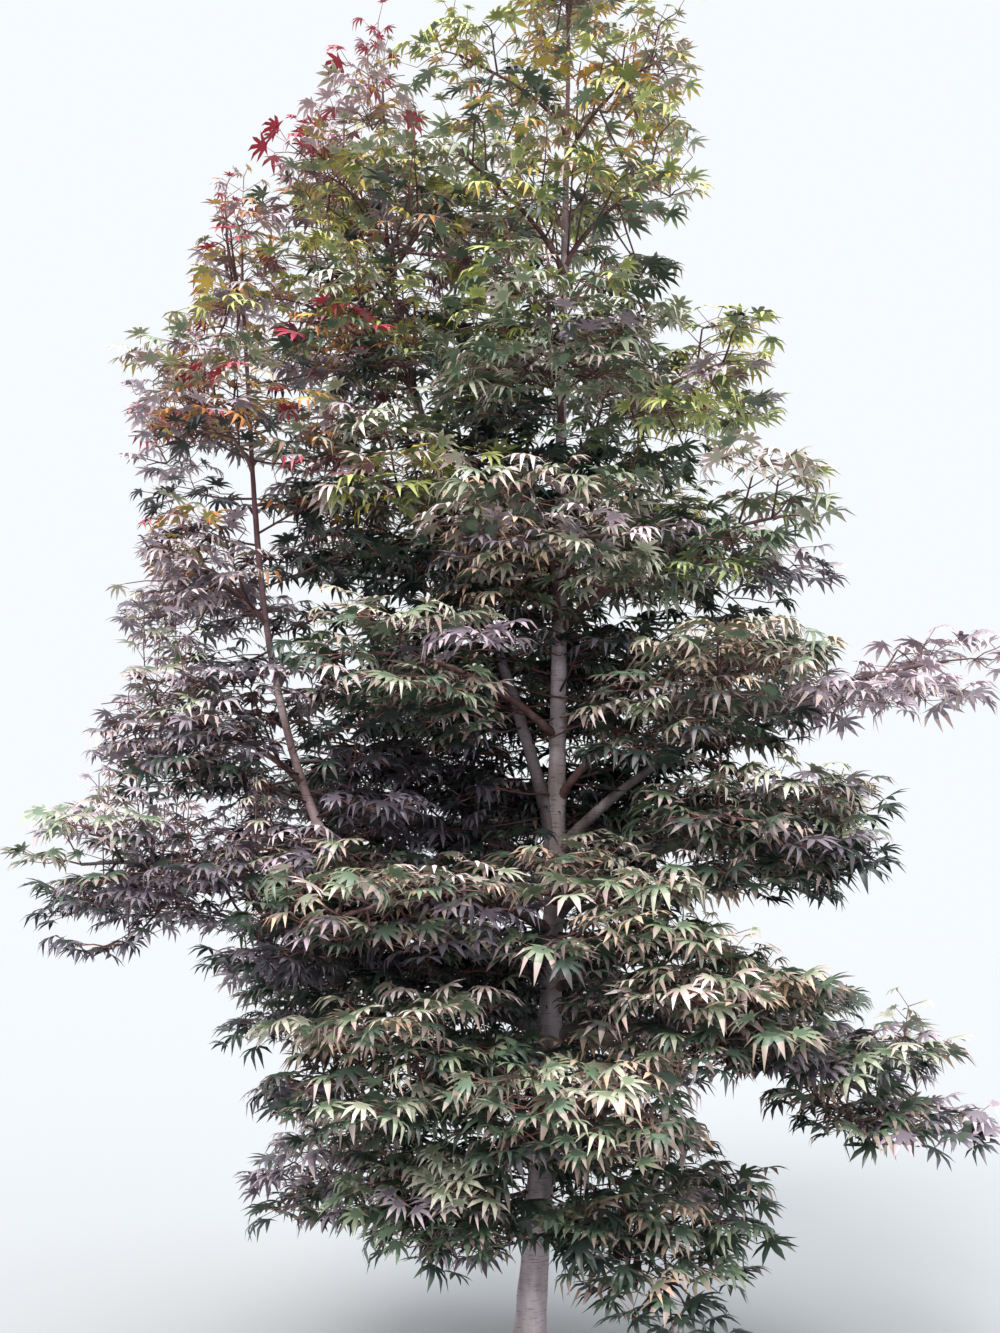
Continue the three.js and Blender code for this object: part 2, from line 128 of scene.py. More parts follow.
# %% [markdown]
# ## Bark
#
# Young maple bark is smooth and thin: pale grey to tan where it is old, pinkish on the leaders and
# reddish brown on the youngest wood, with faint cross marks, through which it breathes, and soft stains
# along the limb. An image would have to be wrapped round some fifty crooked limbs. A procedural finish on
# Object coordinates needs no wrapping: noise squeezed along Z gives the cross marks, noise drawn out
# along Z the stains, and a finer noise a light bump. Higher wood is younger, darker and redder, which is
# a tint along Z.

# %% Small tools for finishes
def colour(code):
    """A six-digit colour code as the linear colour that a shader takes."""
    parts = [int(code[i : i + 2], 16) / 255 for i in (0, 2, 4)]
    return [((c + 0.055) / 1.055) ** 2.4 if c > 0.04 else c / 12.92 for c in parts] + [1]


def new_finish(name, roughness):
    """A node material, and what is needed to add nodes to it."""
    finish = bpy.data.materials.new(name)
    finish.use_nodes = True
    tree = finish.node_tree
    shader = tree.nodes["Principled BSDF"]
    shader.inputs["Roughness"].default_value = roughness
    return finish, tree, shader


def add_node(tree, kind, inputs, **settings):
    """A new node, with each input linked to another node's output or set to a value."""
    node = tree.nodes.new("ShaderNode" + kind)
    for name, choice in settings.items():
        setattr(node, name, choice)
    for name, given in inputs.items():
        if isinstance(given, bpy.types.NodeSocket):
            tree.links.new(given, node.inputs[name])
        else:
            node.inputs[name].default_value = given
    return node


print("a middle grey as a shader takes it", [round(part, 3) for part in colour("808080")])

# %% Patterns along a limb
def height_share(tree, low, high):
    """0 below one height on the tree, 1 above another."""
    place = add_node(tree, "TexCoord", {}).outputs["Object"]
    height = add_node(tree, "SeparateXYZ", {"Vector": place}).outputs["Z"]
    share = add_node(tree, "MapRange", {"Value": height, "From Min": low, "From Max": high})
    return share.outputs["Result"]


def squeezed_noise(tree, squeeze, detail):
    """Noise on Object coordinates, with its own scale along X, Y and Z."""
    place = add_node(tree, "TexCoord", {}).outputs["Object"]
    squeezed = add_node(tree, "Mapping", {"Vector": place, "Scale": squeeze}).outputs["Vector"]
    return add_node(tree, "TexNoise", {"Vector": squeezed, "Scale": 1, "Detail": detail}).outputs["Fac"]


def ramp(tree, factor, stops):
    """Colours along a factor, as (place, colour code) pairs."""
    node = add_node(tree, "ValToRGB", {"Fac": factor})
    elements = node.color_ramp.elements
    while len(elements) < len(stops):
        elements.new(0.5)
    for element, (place, code) in zip(elements, stops):
        element.position = place
        element.color = colour(code)
    return node.outputs["Color"]


# %% Make the bark finishes
WHITE = "ffffff"


def bark_finish(name, dark, middle, pale, mark, young, heights):
    """Bark with stains, blotches, darker cross marks and, from one height to another, a young tint."""
    finish, tree, shader = new_finish(name, 0.75)
    stains = ramp(tree, squeezed_noise(tree, (38, 38, 7), 5), [(0.3, dark), (0.52, middle), (0.72, pale)])
    shade = ramp(tree, squeezed_noise(tree, (45, 45, 420), 2), [(0.56, WHITE), (0.68, mark)])
    blotches = ramp(tree, squeezed_noise(tree, (11, 11, 14), 3), [(0.35, "c9c4bd"), (0.65, WHITE)])
    youth = ramp(tree, height_share(tree, *heights), [(0, WHITE), (1, young)])
    for pattern in (blotches, stains, youth):
        inputs = {"Factor": 1, "A": shade, "B": pattern}
        shade = add_node(tree, "Mix", inputs, data_type="RGBA", blend_type="MULTIPLY").outputs["Result"]
    tree.links.new(shade, shader.inputs["Base Color"])
    relief = squeezed_noise(tree, (60, 60, 260), 4)
    bump = add_node(tree, "Bump", {"Strength": 0.5, "Distance": 0.002, "Height": relief})
    tree.links.new(bump.outputs["Normal"], shader.inputs["Normal"])
    return finish


OLD_BARK = bark_finish("old_bark", "a0949a", "cfc0c6", "eddfe4", "c6bec1", "a07f7f", (1.95, 2.3))
LEADER_BARK = bark_finish("leader_bark", "6b6167", "8f8188", "b0a5ab", "bdb4ba", "a58282", (1.3, 2.0))
RED_BARK = bark_finish("red_bark", "917579", "c6a8ab", "e4cfd1", "cfc1c2", "8f6a73", (1.15, 1.6))
BOUGH_BARK = bark_finish("bough_bark", "5d5254", "857679", "ab9d9f", "bfb4b3", "b08a8a", (1.0, 1.4))
YOUNG_BARK = bark_finish("young_bark", "553d3e", "7c5a5a", "9c8080", "c0aca6", "b79292", (1.6, 2.4))
print("made", *[finish.name for finish in (OLD_BARK, LEADER_BARK, RED_BARK, BOUGH_BARK, YOUNG_BARK)])

# %% [markdown]
# ## The rule that the tree grows by
#
# The model's foliage was grown by a rule: each tier has a stem along a curve, twigs leave it in pairs,
# and each twig ends in the heart of a spray. The rule is written here again, with the same seeds, so that
# every stem, twig and spray is where the model has it. Finer twigs and the real leaves then carry it on
# within the same reach. Lengths are in metres.
#
# A seeded stream of numbers comes first. The same seed always gives the same tree.

# %% Seeded numbers and small helpers
UP = np.array([0.0, 0.0, 1.0])


def dice(seed):
    """A function that gives numbers from 0 to 1, always the same ones for a seed."""
    state = seed

    def roll():
        nonlocal state
        state = (state * 1664525 + 1013904223) % 2**32
        return state / 2**32

    return roll


def lerp(low, high, share):
    return low + (high - low) * share


def rise(value, low, high):
    """0 below low, 1 above high, and a share between."""
    return min(max((value - low) / (high - low), 0), 1)


def unit(vector):
    return vector / np.linalg.norm(vector)


def level(vector):
    """The level direction that a vector heads in."""
    return unit(np.array([vector[0], vector[1], 0.0]))


def left_of(vector):
    """The level direction to the left of a heading."""
    return np.cross(UP, level(vector))


def read_table(text, words):
    """Rows of a table that is written as text: some words, then numbers, with a dash for none."""
    rows = [line.split() for line in text.strip().splitlines()]
    return [row[:words] + [None if cell == "-" else float(cell) for cell in row[words:]] for row in rows]


# %% [markdown]
# The trunk's middle line leans to the right, straightens with height and wavers a little. It thins
# towards the tip, and near the ground it flares into the roots in five soft lobes.

# %% The trunk's line and radius
TRUNK_HEIGHT = 2.56
TRUNK_RADIUS = 0.026
TRUNK_TIP_RADIUS = 0.0036
LEAN = 0.07
STRAIGHTENING = 0.0125
WAVER = 0.007
WAVER_HEIGHT = 0.39
FLARE = 0.024
FLARE_HEIGHT = 0.062
ROOT_LOBES = 5
ROOT_LOBE_DEPTH = 0.15


class TrunkLine:
    """The trunk's middle line. A share of 0 is the ground and 1 is the tip."""

    def point(self, share):
        height = share * TRUNK_HEIGHT
        waver = WAVER * math.sin(height / WAVER_HEIGHT) * min(1, height / WAVER_HEIGHT)
        return np.array([height * (LEAN - STRAIGHTENING * height) + waver, -waver, height])


def trunk_radius(share, turn=0.0):
    flare = math.exp(-share * TRUNK_HEIGHT / FLARE_HEIGHT)
    lobes = 1 + ROOT_LOBE_DEPTH * flare * math.cos(ROOT_LOBES * turn)
    return (lerp(TRUNK_TIP_RADIUS, TRUNK_RADIUS, (1 - share) ** 1.1) + FLARE * flare) * lobes


class Bend:
    """A limb's middle line: a curve that leaves one point and arrives at another at given angles."""

    def __init__(self, start, tip, leave, arrive, across, sway):
        outward = np.cross(across, UP)
        third = np.linalg.norm(tip - start) / 3

        def ahead(angle):
            return outward * math.cos(math.radians(angle)) + UP * math.sin(math.radians(angle))

        self.start = start
        self.first = start + ahead(leave) * third + across * sway
        self.second = tip - ahead(arrive) * third - across * sway
        self.tip = tip

    def point(self, share):
        rest = 1 - share
        near = self.start * rest**3 + 3 * self.first * rest**2 * share
        return near + 3 * self.second * rest * share**2 + self.tip * share**3

    def along(self, share):
        rest = 1 - share
        near = (self.first - self.start) * rest**2 + 2 * (self.second - self.first) * rest * share
        return unit(near + (self.tip - self.second) * share**2)


thickness = [round(2000 * trunk_radius(height / TRUNK_HEIGHT)) for height in (0.1, 1, 2)]
print("trunk thickness at 0.1, 1 and 2 m:", thickness, "mm")

# %% [markdown]
# Wood springs from its parent at a height, or from the parent's tip. Two leaders climb on the left, one
# from the fork and one from the end of a low bough.

# %% The leaders
LEADERS = [
    # name, parent, spring, tip, angles at foot and tip, radii at foot and tip
    ("left_leader", "trunk", 0.93, (-0.275, 0.01, 2.23), 77, 87, 0.013, 0.0035),
    ("left_low_bough", "trunk", 0.61, (-0.345, -0.1, 0.93), 14, 62, 0.013, 0.0085),
    ("outer_leader", "left_low_bough", None, (-0.528, -0.08, 1.9), 64, 84, 0.0085, 0.0035),
]
THICKEST = 0.85  # of its parent's radius, for a branch


def taper(foot, tip):
    """A limb's radius along its curve, thinning most near its foot."""
    return lambda share: lerp(foot, tip, share**0.8)


def share_at(limb, height):
    """The share of a limb's curve at a height, found by halving."""
    low, high = 0.0, 1.0
    for _ in range(40):
        middle = (low + high) / 2
        if limb["curve"].point(middle)[2] < height:
            low = middle
        else:
            high = middle
    return low


def spring_from(parent, height):
    """Where wood leaves its parent, and how thick it may be there."""
    if height is None:
        return parent["curve"].point(1), parent["radius"](1)
    share = share_at(parent, height)
    return parent["curve"].point(share), THICKEST * parent["radius"](share)


limbs = {"trunk": {"curve": TrunkLine(), "radius": trunk_radius}}
for name, parent, spring, tip, leave, arrive, foot, end in LEADERS:
    tip = np.array(tip)
    start, _ = spring_from(limbs[parent], spring)
    across = left_of(tip - start)
    limbs[name] = {"curve": Bend(start, tip, leave, arrive, across, 0), "radius": taper(foot, end)}
print("leaders", list(limbs))

# %% [markdown]
# The tiers are the layers of the crown. Each row says where a tier's wood leaves its parent, which way it
# grows, how far, how high it ends, how much of it is bare, and how wide and how thick its foliage is. Its
# last five numbers say what the photograph shows. Where there is sky between the leaves, near the tips of
# the leaders, fewer of the rule's sprays grow. Some tiers carry upright young shoots, have paler leaf tints
# from extra painted light, or keep more to one tint.

# %% The tiers
# name, parent, tint, spring, bearing, reach, height, bare, spread, depth, in millimetres and degrees; the
# share of its sprays that grow, the share of these that carry an upright young shoot, the weight of the
# young tints, its extra painted light, which pales its leaf tints, and the weight of its own tint
TIERS = """
skirt_left trunk green 440 222 250 330 0 125 100 1 0 0 0 1
skirt_right trunk green 420 322 290 265 0 145 110 0.85 0 0 0 1
skirt_back_left trunk mauve 480 163 450 330 0 145 130 1 0 0 0 1
low_left trunk bronze 560 221 440 560 0.36 135 110 1 0 0 0 1
low_front trunk bronze 520 275 400 505 0 140 110 1 0 0 0 2
low_front_right trunk bronze 680 311 430 640 0.34 155 110 1 0.2 0 0 1.5
low_right trunk bronze 600 349 620 500 0.34 170 135 1 0.4 0 0 1
low_right_back trunk green 640 33 560 590 0.34 175 135 1 0 0 0 1
low_back trunk green 600 96 520 560 0.34 175 145 1 0.2 0 0 1
low_back_left trunk mauve 700 153 560 640 0.34 165 135 1 0.2 0 0 1
left_spray left_low_bough mauve 745 199 555 890 0.3 140 100 1 0.6 0 0.02 4
left_front trunk bronze 780 226 510 800 0 140 110 1 0 0 0 1.5
front trunk bronze 830 286 360 800 0 140 100 1 0 0 0 1
right_mid trunk green 800 334 490 960 0.36 155 120 0.9 0.25 0 0 1
right_back trunk green 860 28 540 940 0.32 170 135 1 0.3 0 0 1
back trunk green 900 88 520 960 0.32 170 135 1 0.3 0 0 1
back_left trunk mauve 880 146 560 980 0.32 170 135 1 0.3 0 0 1
right_spray trunk mauve 915 347 700 1245 0.5 105 80 0.65 0 0 0.7 4
right_front trunk bronze 1010 321 410 1210 0 135 120 1 0 0 0 1
front_left trunk bronze 1130 220 440 1235 0 145 120 1 0 0 0 1
outer_low outer_leader mauve 1040 188 290 1150 0 155 135 0.92 0.3 0 0.12 1
right_back_mid trunk green 1150 30 480 1290 0 175 145 1 0 0 0 1
back_mid trunk green 1210 108 450 1310 0 185 145 1 0.3 0 0 1
right_upper trunk gold 1330 338 430 1510 0 145 135 0.9 0 0 0 1
front_upper trunk bronze 1350 262 330 1480 0 145 130 1 0 0 0.15 1
outer_mid outer_leader mauve 1330 178 210 1440 0 165 145 0.62 0.3 0.25 0.28 1
left_inner left_leader bronze 1470 205 290 1640 0 135 135 1 0.15 0.3 0.15 1
back_upper trunk green 1450 62 400 1600 0 175 155 1 0 0 0 1
back_left_upper left_leader green 1400 145 330 1590 0 175 155 1 0.2 0 0 1
right_high trunk gold 1640 345 330 1840 0 145 145 0.75 0.2 0 0.2 1
front_high trunk green 1740 262 230 1880 0 145 145 1 0.15 0 0.2 1
outer_high outer_leader gold 1620 215 150 1740 0 145 135 0.4 0.45 1.1 0.5 0.7
outer_tip outer_leader mauve - 188 40 2020 0 125 155 0.45 0.5 1.3 0.45 1
left_high left_leader gold 1790 200 230 1960 0 135 145 0.75 0.4 0.5 0.2 1
back_high trunk green 1820 85 270 2000 0 165 160 0.6 0 0 0 1
right_crown trunk gold 2080 352 205 2260 0 125 135 0.65 0.15 0 0.25 1
front_crown trunk gold 2060 215 230 2230 0 125 135 0.7 0.2 0.15 0.25 1
left_crown left_leader gold 2060 325 150 2190 0 115 135 0.6 0.3 0.25 0.25 1
left_outer_crown left_leader gold 2120 170 150 2270 0 115 135 0.5 0.9 0.9 0.25 1
left_tip left_leader gold - 175 25 2480 0 105 160 0.45 0.9 1 0.25 1
back_crown trunk green 2150 115 200 2330 0 135 145 0.5 0 0 0 1
top_right trunk gold 2310 350 185 2510 0 105 130 0.55 0.3 0.2 0.25 1
top_left trunk gold 2360 190 220 2520 0 105 130 0.5 0.6 0.5 0.2 1
top trunk gold - 180 12 2770 0 105 155 0.65 0.5 0.5 0.2 1
"""
TIER_ROWS = read_table(TIERS, 3)
print("rows", len(TIER_ROWS), "the first is", *TIER_ROWS[0])

# %% Plan each tier's stem and space
# bright is a tier's extra painted light in its leaf tints
HABIT = ("grown", "upright", "young", "bright", "own")
FIRST_SEED = 9001
SEED_STEP = 77
STEM_TIP_RADIUS = 0.0028
HEART_LIFT = 0.025
HEART_MARGIN = 0.045


def space_along(entry, tip, across, spread, depth):
    """The space that a tier's foliage keeps to: an ellipsoid along its stem."""
    forward = tip - entry
    half = np.array([np.linalg.norm(forward) / 2 + HEART_MARGIN, spread, depth])
    forward = unit(forward)
    axes = np.array([forward, across, np.cross(forward, across)])
    return {"centre": (entry + tip) / 2 + UP * HEART_LIFT, "axes": axes, "half": half}


def plan_tier(index, row):
    """A tier's curve, its radius and the space that it fills."""
    name, parent, tint, spring, bearing, reach, height, bare, spread, depth, *habit = row
    reach, height, spread, depth = reach / 1000, height / 1000, spread / 1000, depth / 1000
    roll = dice(FIRST_SEED + index * SEED_STEP)
    start, radius = spring_from(limbs[parent], spring and spring / 1000)
    turn = math.radians(bearing)
    across = np.array([-math.sin(turn), math.cos(turn), 0.0])
    tip = start + np.cross(across, UP) * reach
    tip[2] = height
    climb = math.degrees(math.atan2(height - start[2], reach))
    sway = (roll() - 0.5) * 0.16 * reach
    curve = Bend(start, tip, min(climb + 24, 88), climb - 20, across, sway)
    return {
        "name": name, "parent": parent, "tint": tint, "index": index, "roll": roll, "curve": curve,
        "radius": taper(min(0.0046 + 0.009 * reach, radius), STEM_TIP_RADIUS), "bare": bare, "across": across,
        "space": space_along(curve.point(bare), tip, across, spread, depth), "climb": depth / spread,
    } | dict(zip(HABIT, habit))


tiers = [plan_tier(index, row) for index, row in enumerate(TIER_ROWS)]
print("tiers", len(tiers), "of which with a bare bough", sum(tier["bare"] > 0 for tier in tiers))

# %% [markdown]
# ## The trunk
#
# The trunk flares at the ground, swells into a collar wherever a bough leaves it, and has shallow dents in
# its bark. It could be a curve with a bevel, but then the flat cut at the ground would tilt with the lean.
# So a circle is laid on the ground and extruded upwards ring by ring, with each ring level. Then every
# vertex is eased out to the rule's radius with its lobes and collars, and a Displace modifier with a cloud
# texture gives the dents.

# %% Helpers for modelling by hand
def fresh_start():
    """Leaves edit mode and deselects everything, so that an operator acts only on what comes next."""
    if bpy.context.mode != "OBJECT":
        bpy.ops.object.mode_set(mode="OBJECT")
    bpy.ops.object.select_all(action="DESELECT")


def take_up(piece):
    """Selects one piece and makes it the active one."""
    fresh_start()
    piece.select_set(True)
    bpy.context.view_layer.objects.active = piece


def roughen(piece, size, depth):
    """Presses shallow dents into a piece with a cloud texture."""
    take_up(piece)
    texture = bpy.data.textures.new(piece.name + "_dents", "CLOUDS")
    texture.noise_scale = size
    bpy.ops.object.modifier_add(type="DISPLACE")
    dents = piece.modifiers[-1]
    dents.texture = texture
    dents.texture_coords = "LOCAL"
    dents.strength = depth
    dents.mid_level = 0.5
    bpy.ops.object.modifier_apply(modifier=dents.name)


def wear(piece, finish, nodes):
    """Smooths a finished piece, gives it its material and its body, and hides the nodes that it stands for.
    """
    bpy.ops.object.shade_smooth_by_angle(angle=math.radians(50))
    piece.data.materials.clear()
    piece.data.materials.append(finish)
    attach(piece, "root")
    if nodes:
        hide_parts(*nodes)


# %% Extrude the trunk ring by ring
TRUNK_SIDES = 40
TRUNK_RINGS = 150


def trunk_share(ring):
    """Rings lie closer together towards the flare."""
    return (ring / TRUNK_RINGS) ** 1.25


fresh_start()
line = limbs["trunk"]["curve"]
bpy.ops.mesh.primitive_circle_add(
    vertices=TRUNK_SIDES, radius=trunk_radius(0), fill_type="NGON", location=(0, 0, 0)
)
trunk = bpy.context.object
trunk.name = "trunk_bark"
bpy.ops.object.mode_set(mode="EDIT")
bpy.ops.mesh.select_all(action="SELECT")
for ring in range(1, TRUNK_RINGS + 1):
    before, after = trunk_share(ring - 1), trunk_share(ring)
    step = line.point(after) - line.point(before)
    narrowing = trunk_radius(after) / trunk_radius(before)
    bpy.ops.mesh.extrude_region_move(TRANSFORM_OT_translate={"value": step})
    bpy.ops.transform.resize(value=(narrowing, narrowing, 1), center_override=tuple(line.point(after)))
bpy.ops.mesh.select_all(action="SELECT")
bpy.ops.mesh.normals_make_consistent(inside=False)
fresh_start()
print("trunk rings", TRUNK_RINGS, "vertices", len(trunk.data.vertices))

# %% Ease the trunk out to its lobes and collars
COLLAR_SWELL, COLLAR_HEIGHT, COLLAR_WIDTH = 0.45, 1.6, 1.3  # in radii of the limb that leaves there
COLLARS = [(0.93, math.radians(178), 0.013), (0.61, math.radians(195), 0.013)]
for tier in tiers:
    if tier["parent"] == "trunk":
        foot, toward = tier["curve"].point(0), tier["curve"].along(0)
        COLLARS.append((foot[2] + 0.012, math.atan2(toward[1], toward[0]), tier["radius"](0)))


def collar(share, turn):
    """How far the bark swells round the foot of each limb that leaves the trunk."""
    swelling = 0.0
    for foot, bearing, size in COLLARS:
        above = (share * TRUNK_HEIGHT - foot) / (COLLAR_HEIGHT * size)
        aside = math.remainder(turn - bearing, math.tau) * trunk_radius(share) / (COLLAR_WIDTH * size)
        swelling += COLLAR_SWELL * size * math.exp(-above * above - aside * aside)
    return swelling


for vertex in trunk.data.vertices:
    share = min(vertex.co.z / TRUNK_HEIGHT, 1)
    middle = line.point(share)
    turn = math.atan2(vertex.co.y - middle[1], vertex.co.x - middle[0])
    radius = trunk_radius(share, turn) + collar(share, turn)
    vertex.co.x = middle[0] + radius * math.cos(turn)
    vertex.co.y = middle[1] + radius * math.sin(turn)
roughen(trunk, 0.055, 0.0035)
roughen(trunk, 0.012, 0.0011)
for vertex in trunk.data.vertices:
    vertex.co.z = max(vertex.co.z, 0)
wear(trunk, OLD_BARK, ["trunk"])
print("trunk faces", len(trunk.data.polygons))

# %% [markdown]
# ## Leaders and boughs
#
# Each of these limbs bends in all three directions, so ring by ring extrusion would need a turn at every
# ring. A curve with a round bevel does that by itself: a Bezier curve is added and subdivided, its points
# are laid along the rule's curve with the rule's radius, and it is converted to a mesh and roughened as
# the trunk is. Each limb starts inside its parent and swells there, to look grown on.

# %% Lay a limb along a curve
FOOT_SWELL = 0.35
FOOT_FADE = 22


def limb_piece(name, limb, points, sides):
    """A round limb along its curve, as a mesh."""
    fresh_start()
    bpy.ops.curve.primitive_bezier_curve_add(location=(0, 0, 0))
    piece = bpy.context.object
    piece.name = name
    bpy.ops.object.mode_set(mode="EDIT")
    bpy.ops.curve.select_all(action="SELECT")
    bpy.ops.curve.subdivide(number_cuts=points - 2)
    bpy.ops.object.mode_set(mode="OBJECT")
    for order, point in enumerate(piece.data.splines[0].bezier_points):
        share = order / (points - 1)
        point.handle_left_type = point.handle_right_type = "AUTO"
        point.co = limb["curve"].point(share)
        point.radius = limb["radius"](share) * (1 + FOOT_SWELL * math.exp(-share * FOOT_FADE))
    piece.data.dimensions = "3D"
    piece.data.bevel_depth = 1
    piece.data.bevel_resolution = sides // 2 - 2
    piece.data.resolution_u = 4
    piece.data.use_fill_caps = True
    bpy.ops.object.convert(target="MESH")
    bpy.ops.object.mode_set(mode="EDIT")
    bpy.ops.mesh.select_all(action="SELECT")
    bpy.ops.mesh.remove_doubles(threshold=0.00005)
    bpy.ops.mesh.normals_make_consistent(inside=False)
    fresh_start()
    roughen(piece, 0.03, 0.0022)
    roughen(piece, 0.008, 0.0006)
    return piece


LEADER_FINISH = {"left_leader": LEADER_BARK, "left_low_bough": LEADER_BARK, "outer_leader": RED_BARK}
for name, finish in LEADER_FINISH.items():
    piece = limb_piece(name + "_bark", limbs[name], 26, 16)
    wear(piece, finish, [name])
    print(piece.name, "faces", len(piece.data.polygons))

# %% [markdown]
# The boughs of twelve tiers are bare for the first third of their length. Each is one piece that runs on
# through its foliage as the stem. The stems of the other tiers leave the trunk inside the foliage.

# %% Lay the boughs and the stems
for tier in tiers:
    bare = tier["bare"] > 0
    node = tier["name"] + ("_bough" if bare else "_stem")
    piece = limb_piece(node + "_bark", tier, 12, 10)
    wear(piece, BOUGH_BARK if bare else YOUNG_BARK, [node] if bare else [])
print("boughs and stems", len(tiers))

# %% [markdown]
# ## Where the sprays are
#
# The rule tries twelve pairs of twigs on each stem. A twig grows as long as the heart of its spray stays
# in the tier's space, and a spray whose heart lies deeper in a neighbour's space is left out.

# %% Measure in the tiers' spaces
TWIG_LEAST = 0.046
TWIG_MOST = 0.21
TWIG_STEP = 0.01

CENTRES = np.array([tier["space"]["centre"] for tier in tiers])
AXES = np.array([tier["space"]["axes"] for tier in tiers])
HALVES = np.array([tier["space"]["half"] for tier in tiers])


def depths(point):
    """How far out a point lies in the space of every tier: under 1 is inside."""
    away = np.einsum("tij,tj->ti", AXES, point - CENTRES) / HALVES
    return np.linalg.norm(away, axis=1)


def owns(tier, point):
    """Whether a point lies in a tier's own space, and deeper than in any neighbour's."""
    found = depths(point)
    return found[tier["index"]] < 1 and found.argmin() == tier["index"]


def place_in(space, point):
    """Where a point lies along, across and over a space, whose edge is at 1."""
    return space["axes"] @ (point - space["centre"]) / space["half"]


def room_for(tier, start, heading):
    """How far a twig may run before its spray's heart would leave the tier's space."""
    room = TWIG_LEAST
    while room < TWIG_MOST:
        if np.linalg.norm(place_in(tier["space"], start + heading * (room + TWIG_STEP))) >= 1:
            break
        room += TWIG_STEP
    return room


print("spaces", len(HALVES), "the widest reaches", round(HALVES.max(), 3), "m from its middle")

# %% Find every spray of the rule
PAIRS = 12
FIRST_PAIR = 0.88
GOLDEN = 0.618034
PAIR_JITTER = 0.05
TWIG_SPREAD, SPREAD_JITTER = 58, 24
PITCH_JITTER = 0.3
TWIG_SHORTEST = 0.62
LEAF_HANG = (0.3, 1.05)


def drooping(heading, roll):
    """The way a spray hangs."""
    return level(heading) - UP * lerp(*LEAF_HANG, roll())


def sprays_of(tier):
    """The spray at the tip of a tier's stem, and those that its twigs carry."""
    roll, curve = tier["roll"], tier["curve"]
    tip = curve.point(1)
    found = [{"start": tip, "heart": tip, "hang": drooping(curve.along(1), roll)}]
    roll()  # the rule's number for the tilt of the model's broad leaf
    for pair in range(PAIRS):
        way = (FIRST_PAIR + pair * GOLDEN + PAIR_JITTER * roll()) % 1
        share = lerp(tier["bare"] + 0.05, 0.97, way)
        start, along = curve.point(share), curve.along(share)
        for hand in (1, -1):
            spread = math.radians(TWIG_SPREAD + SPREAD_JITTER * (roll() - 0.5))
            pitch = (pair % 3 - 1) * tier["climb"] + PITCH_JITTER * (roll() - 0.5)
            heading = along * math.cos(spread) + UP * pitch + tier["across"] * hand * math.sin(spread)
            heading = unit(heading)
            heart = start + heading * room_for(tier, start, heading) * lerp(TWIG_SHORTEST, 1, roll())
            roll()  # its size
            found.append({"start": start, "heart": heart, "hang": drooping(heading, roll)})
            roll()  # its tilt
    return [spray for spray in found if owns(tier, spray["heart"])]


for tier in tiers:
    tier["sprays"] = sprays_of(tier)
print("sprays", sum(len(tier["sprays"]) for tier in tiers))

# %% [markdown]
# The leaders and the trunk carry short twigs of their own between the tiers, which close the crown round
# its wood. A few more hang below some tiers or rise above them, and cross the trunk near its foot. Each
# belongs to the tier whose space is nearest, and there is none where the nearest is far, so the open
# places of the crown stay open.

# %% Add short twigs along the leaders and some stems
LIMB_TWIGS = [
    # limb, share of its curve where its twigs begin and end, how many, their least and most rise
    ("trunk", 0.1, 0.85, 115, -0.3, 0.5),
    ("left_leader", 0.12, 0.95, 75, -0.3, 0.5),
    ("outer_leader", 0.0, 0.9, 48, -0.3, 0.5),
    ("left_low_bough", 0.35, 0.98, 30, -0.3, 0.5),
    ("trunk", 0.1, 0.14, 12, -0.5, 0.0),
    ("left_spray", 0.3, 0.8, 16, -1.1, -0.5),
    ("back_left", 0.3, 0.9, 18, 0.5, 1.1),
    ("front_left", 0.15, 0.7, 10, -1.1, -0.5),
    ("skirt_right", 0.3, 0.8, 8, -0.9, -0.4),
    ("back", 0.1, 0.7, 16, 0.4, 1.0),
]
TWIG_SEED = 300
NEAR = (0.7, 2.1)
LINES = {name: limb["curve"] for name, limb in limbs.items()}
LINES |= {tier["name"]: tier["curve"] for tier in tiers}


def twigs_along(name, low, high, count, least, most, seed):
    """Short twigs round a limb, with their sprays."""
    roll = dice(seed)
    grown = 0
    for order in range(count):
        start = LINES[name].point(lerp(low, high, (order + roll()) / count))
        turn = order * 2.4 + roll()
        heading = unit(np.array([math.cos(turn), math.sin(turn), lerp(least, most, roll())]))
        heart = start + heading * lerp(0.06, 0.19, roll())
        hang = drooping(heading, roll)
        found = depths(heart)
        if NEAR[0] < found.min() < NEAR[1]:
            nearest = tiers[int(found.argmin())]
            nearest["sprays"].append({"start": start, "heart": heart, "hang": hang, "inner": True})
            grown += 1
    return grown


for order, row in enumerate(LIMB_TWIGS):
    print(row[0], "short twigs", twigs_along(*row, TWIG_SEED + order))

# %% [markdown]
# ## Where the tree is open
#
# Some wood shows between the sprays, and the tree ends at its outline. The leaves that would hide the
# wood or pass the outline could be taken away by hand, but thousands of them are too many. So these
# places are listed as they fall in the picture, and nothing grows in them.

# %% Find the open places
# Bare stretches of the trunk and of the outer leader: left, top, right, bottom.
BARE_STRETCHES = [
    (500, 645, 575, 825), (541, 885, 566, 935), (538, 970, 563, 1030), (512, 1165, 560, 1195),
    (508, 1240, 556, 1333), (562, 188, 596, 278), (243, 470, 264, 520), (251, 575, 274, 640),
    (267, 690, 293, 732), (283, 745, 325, 815),
]
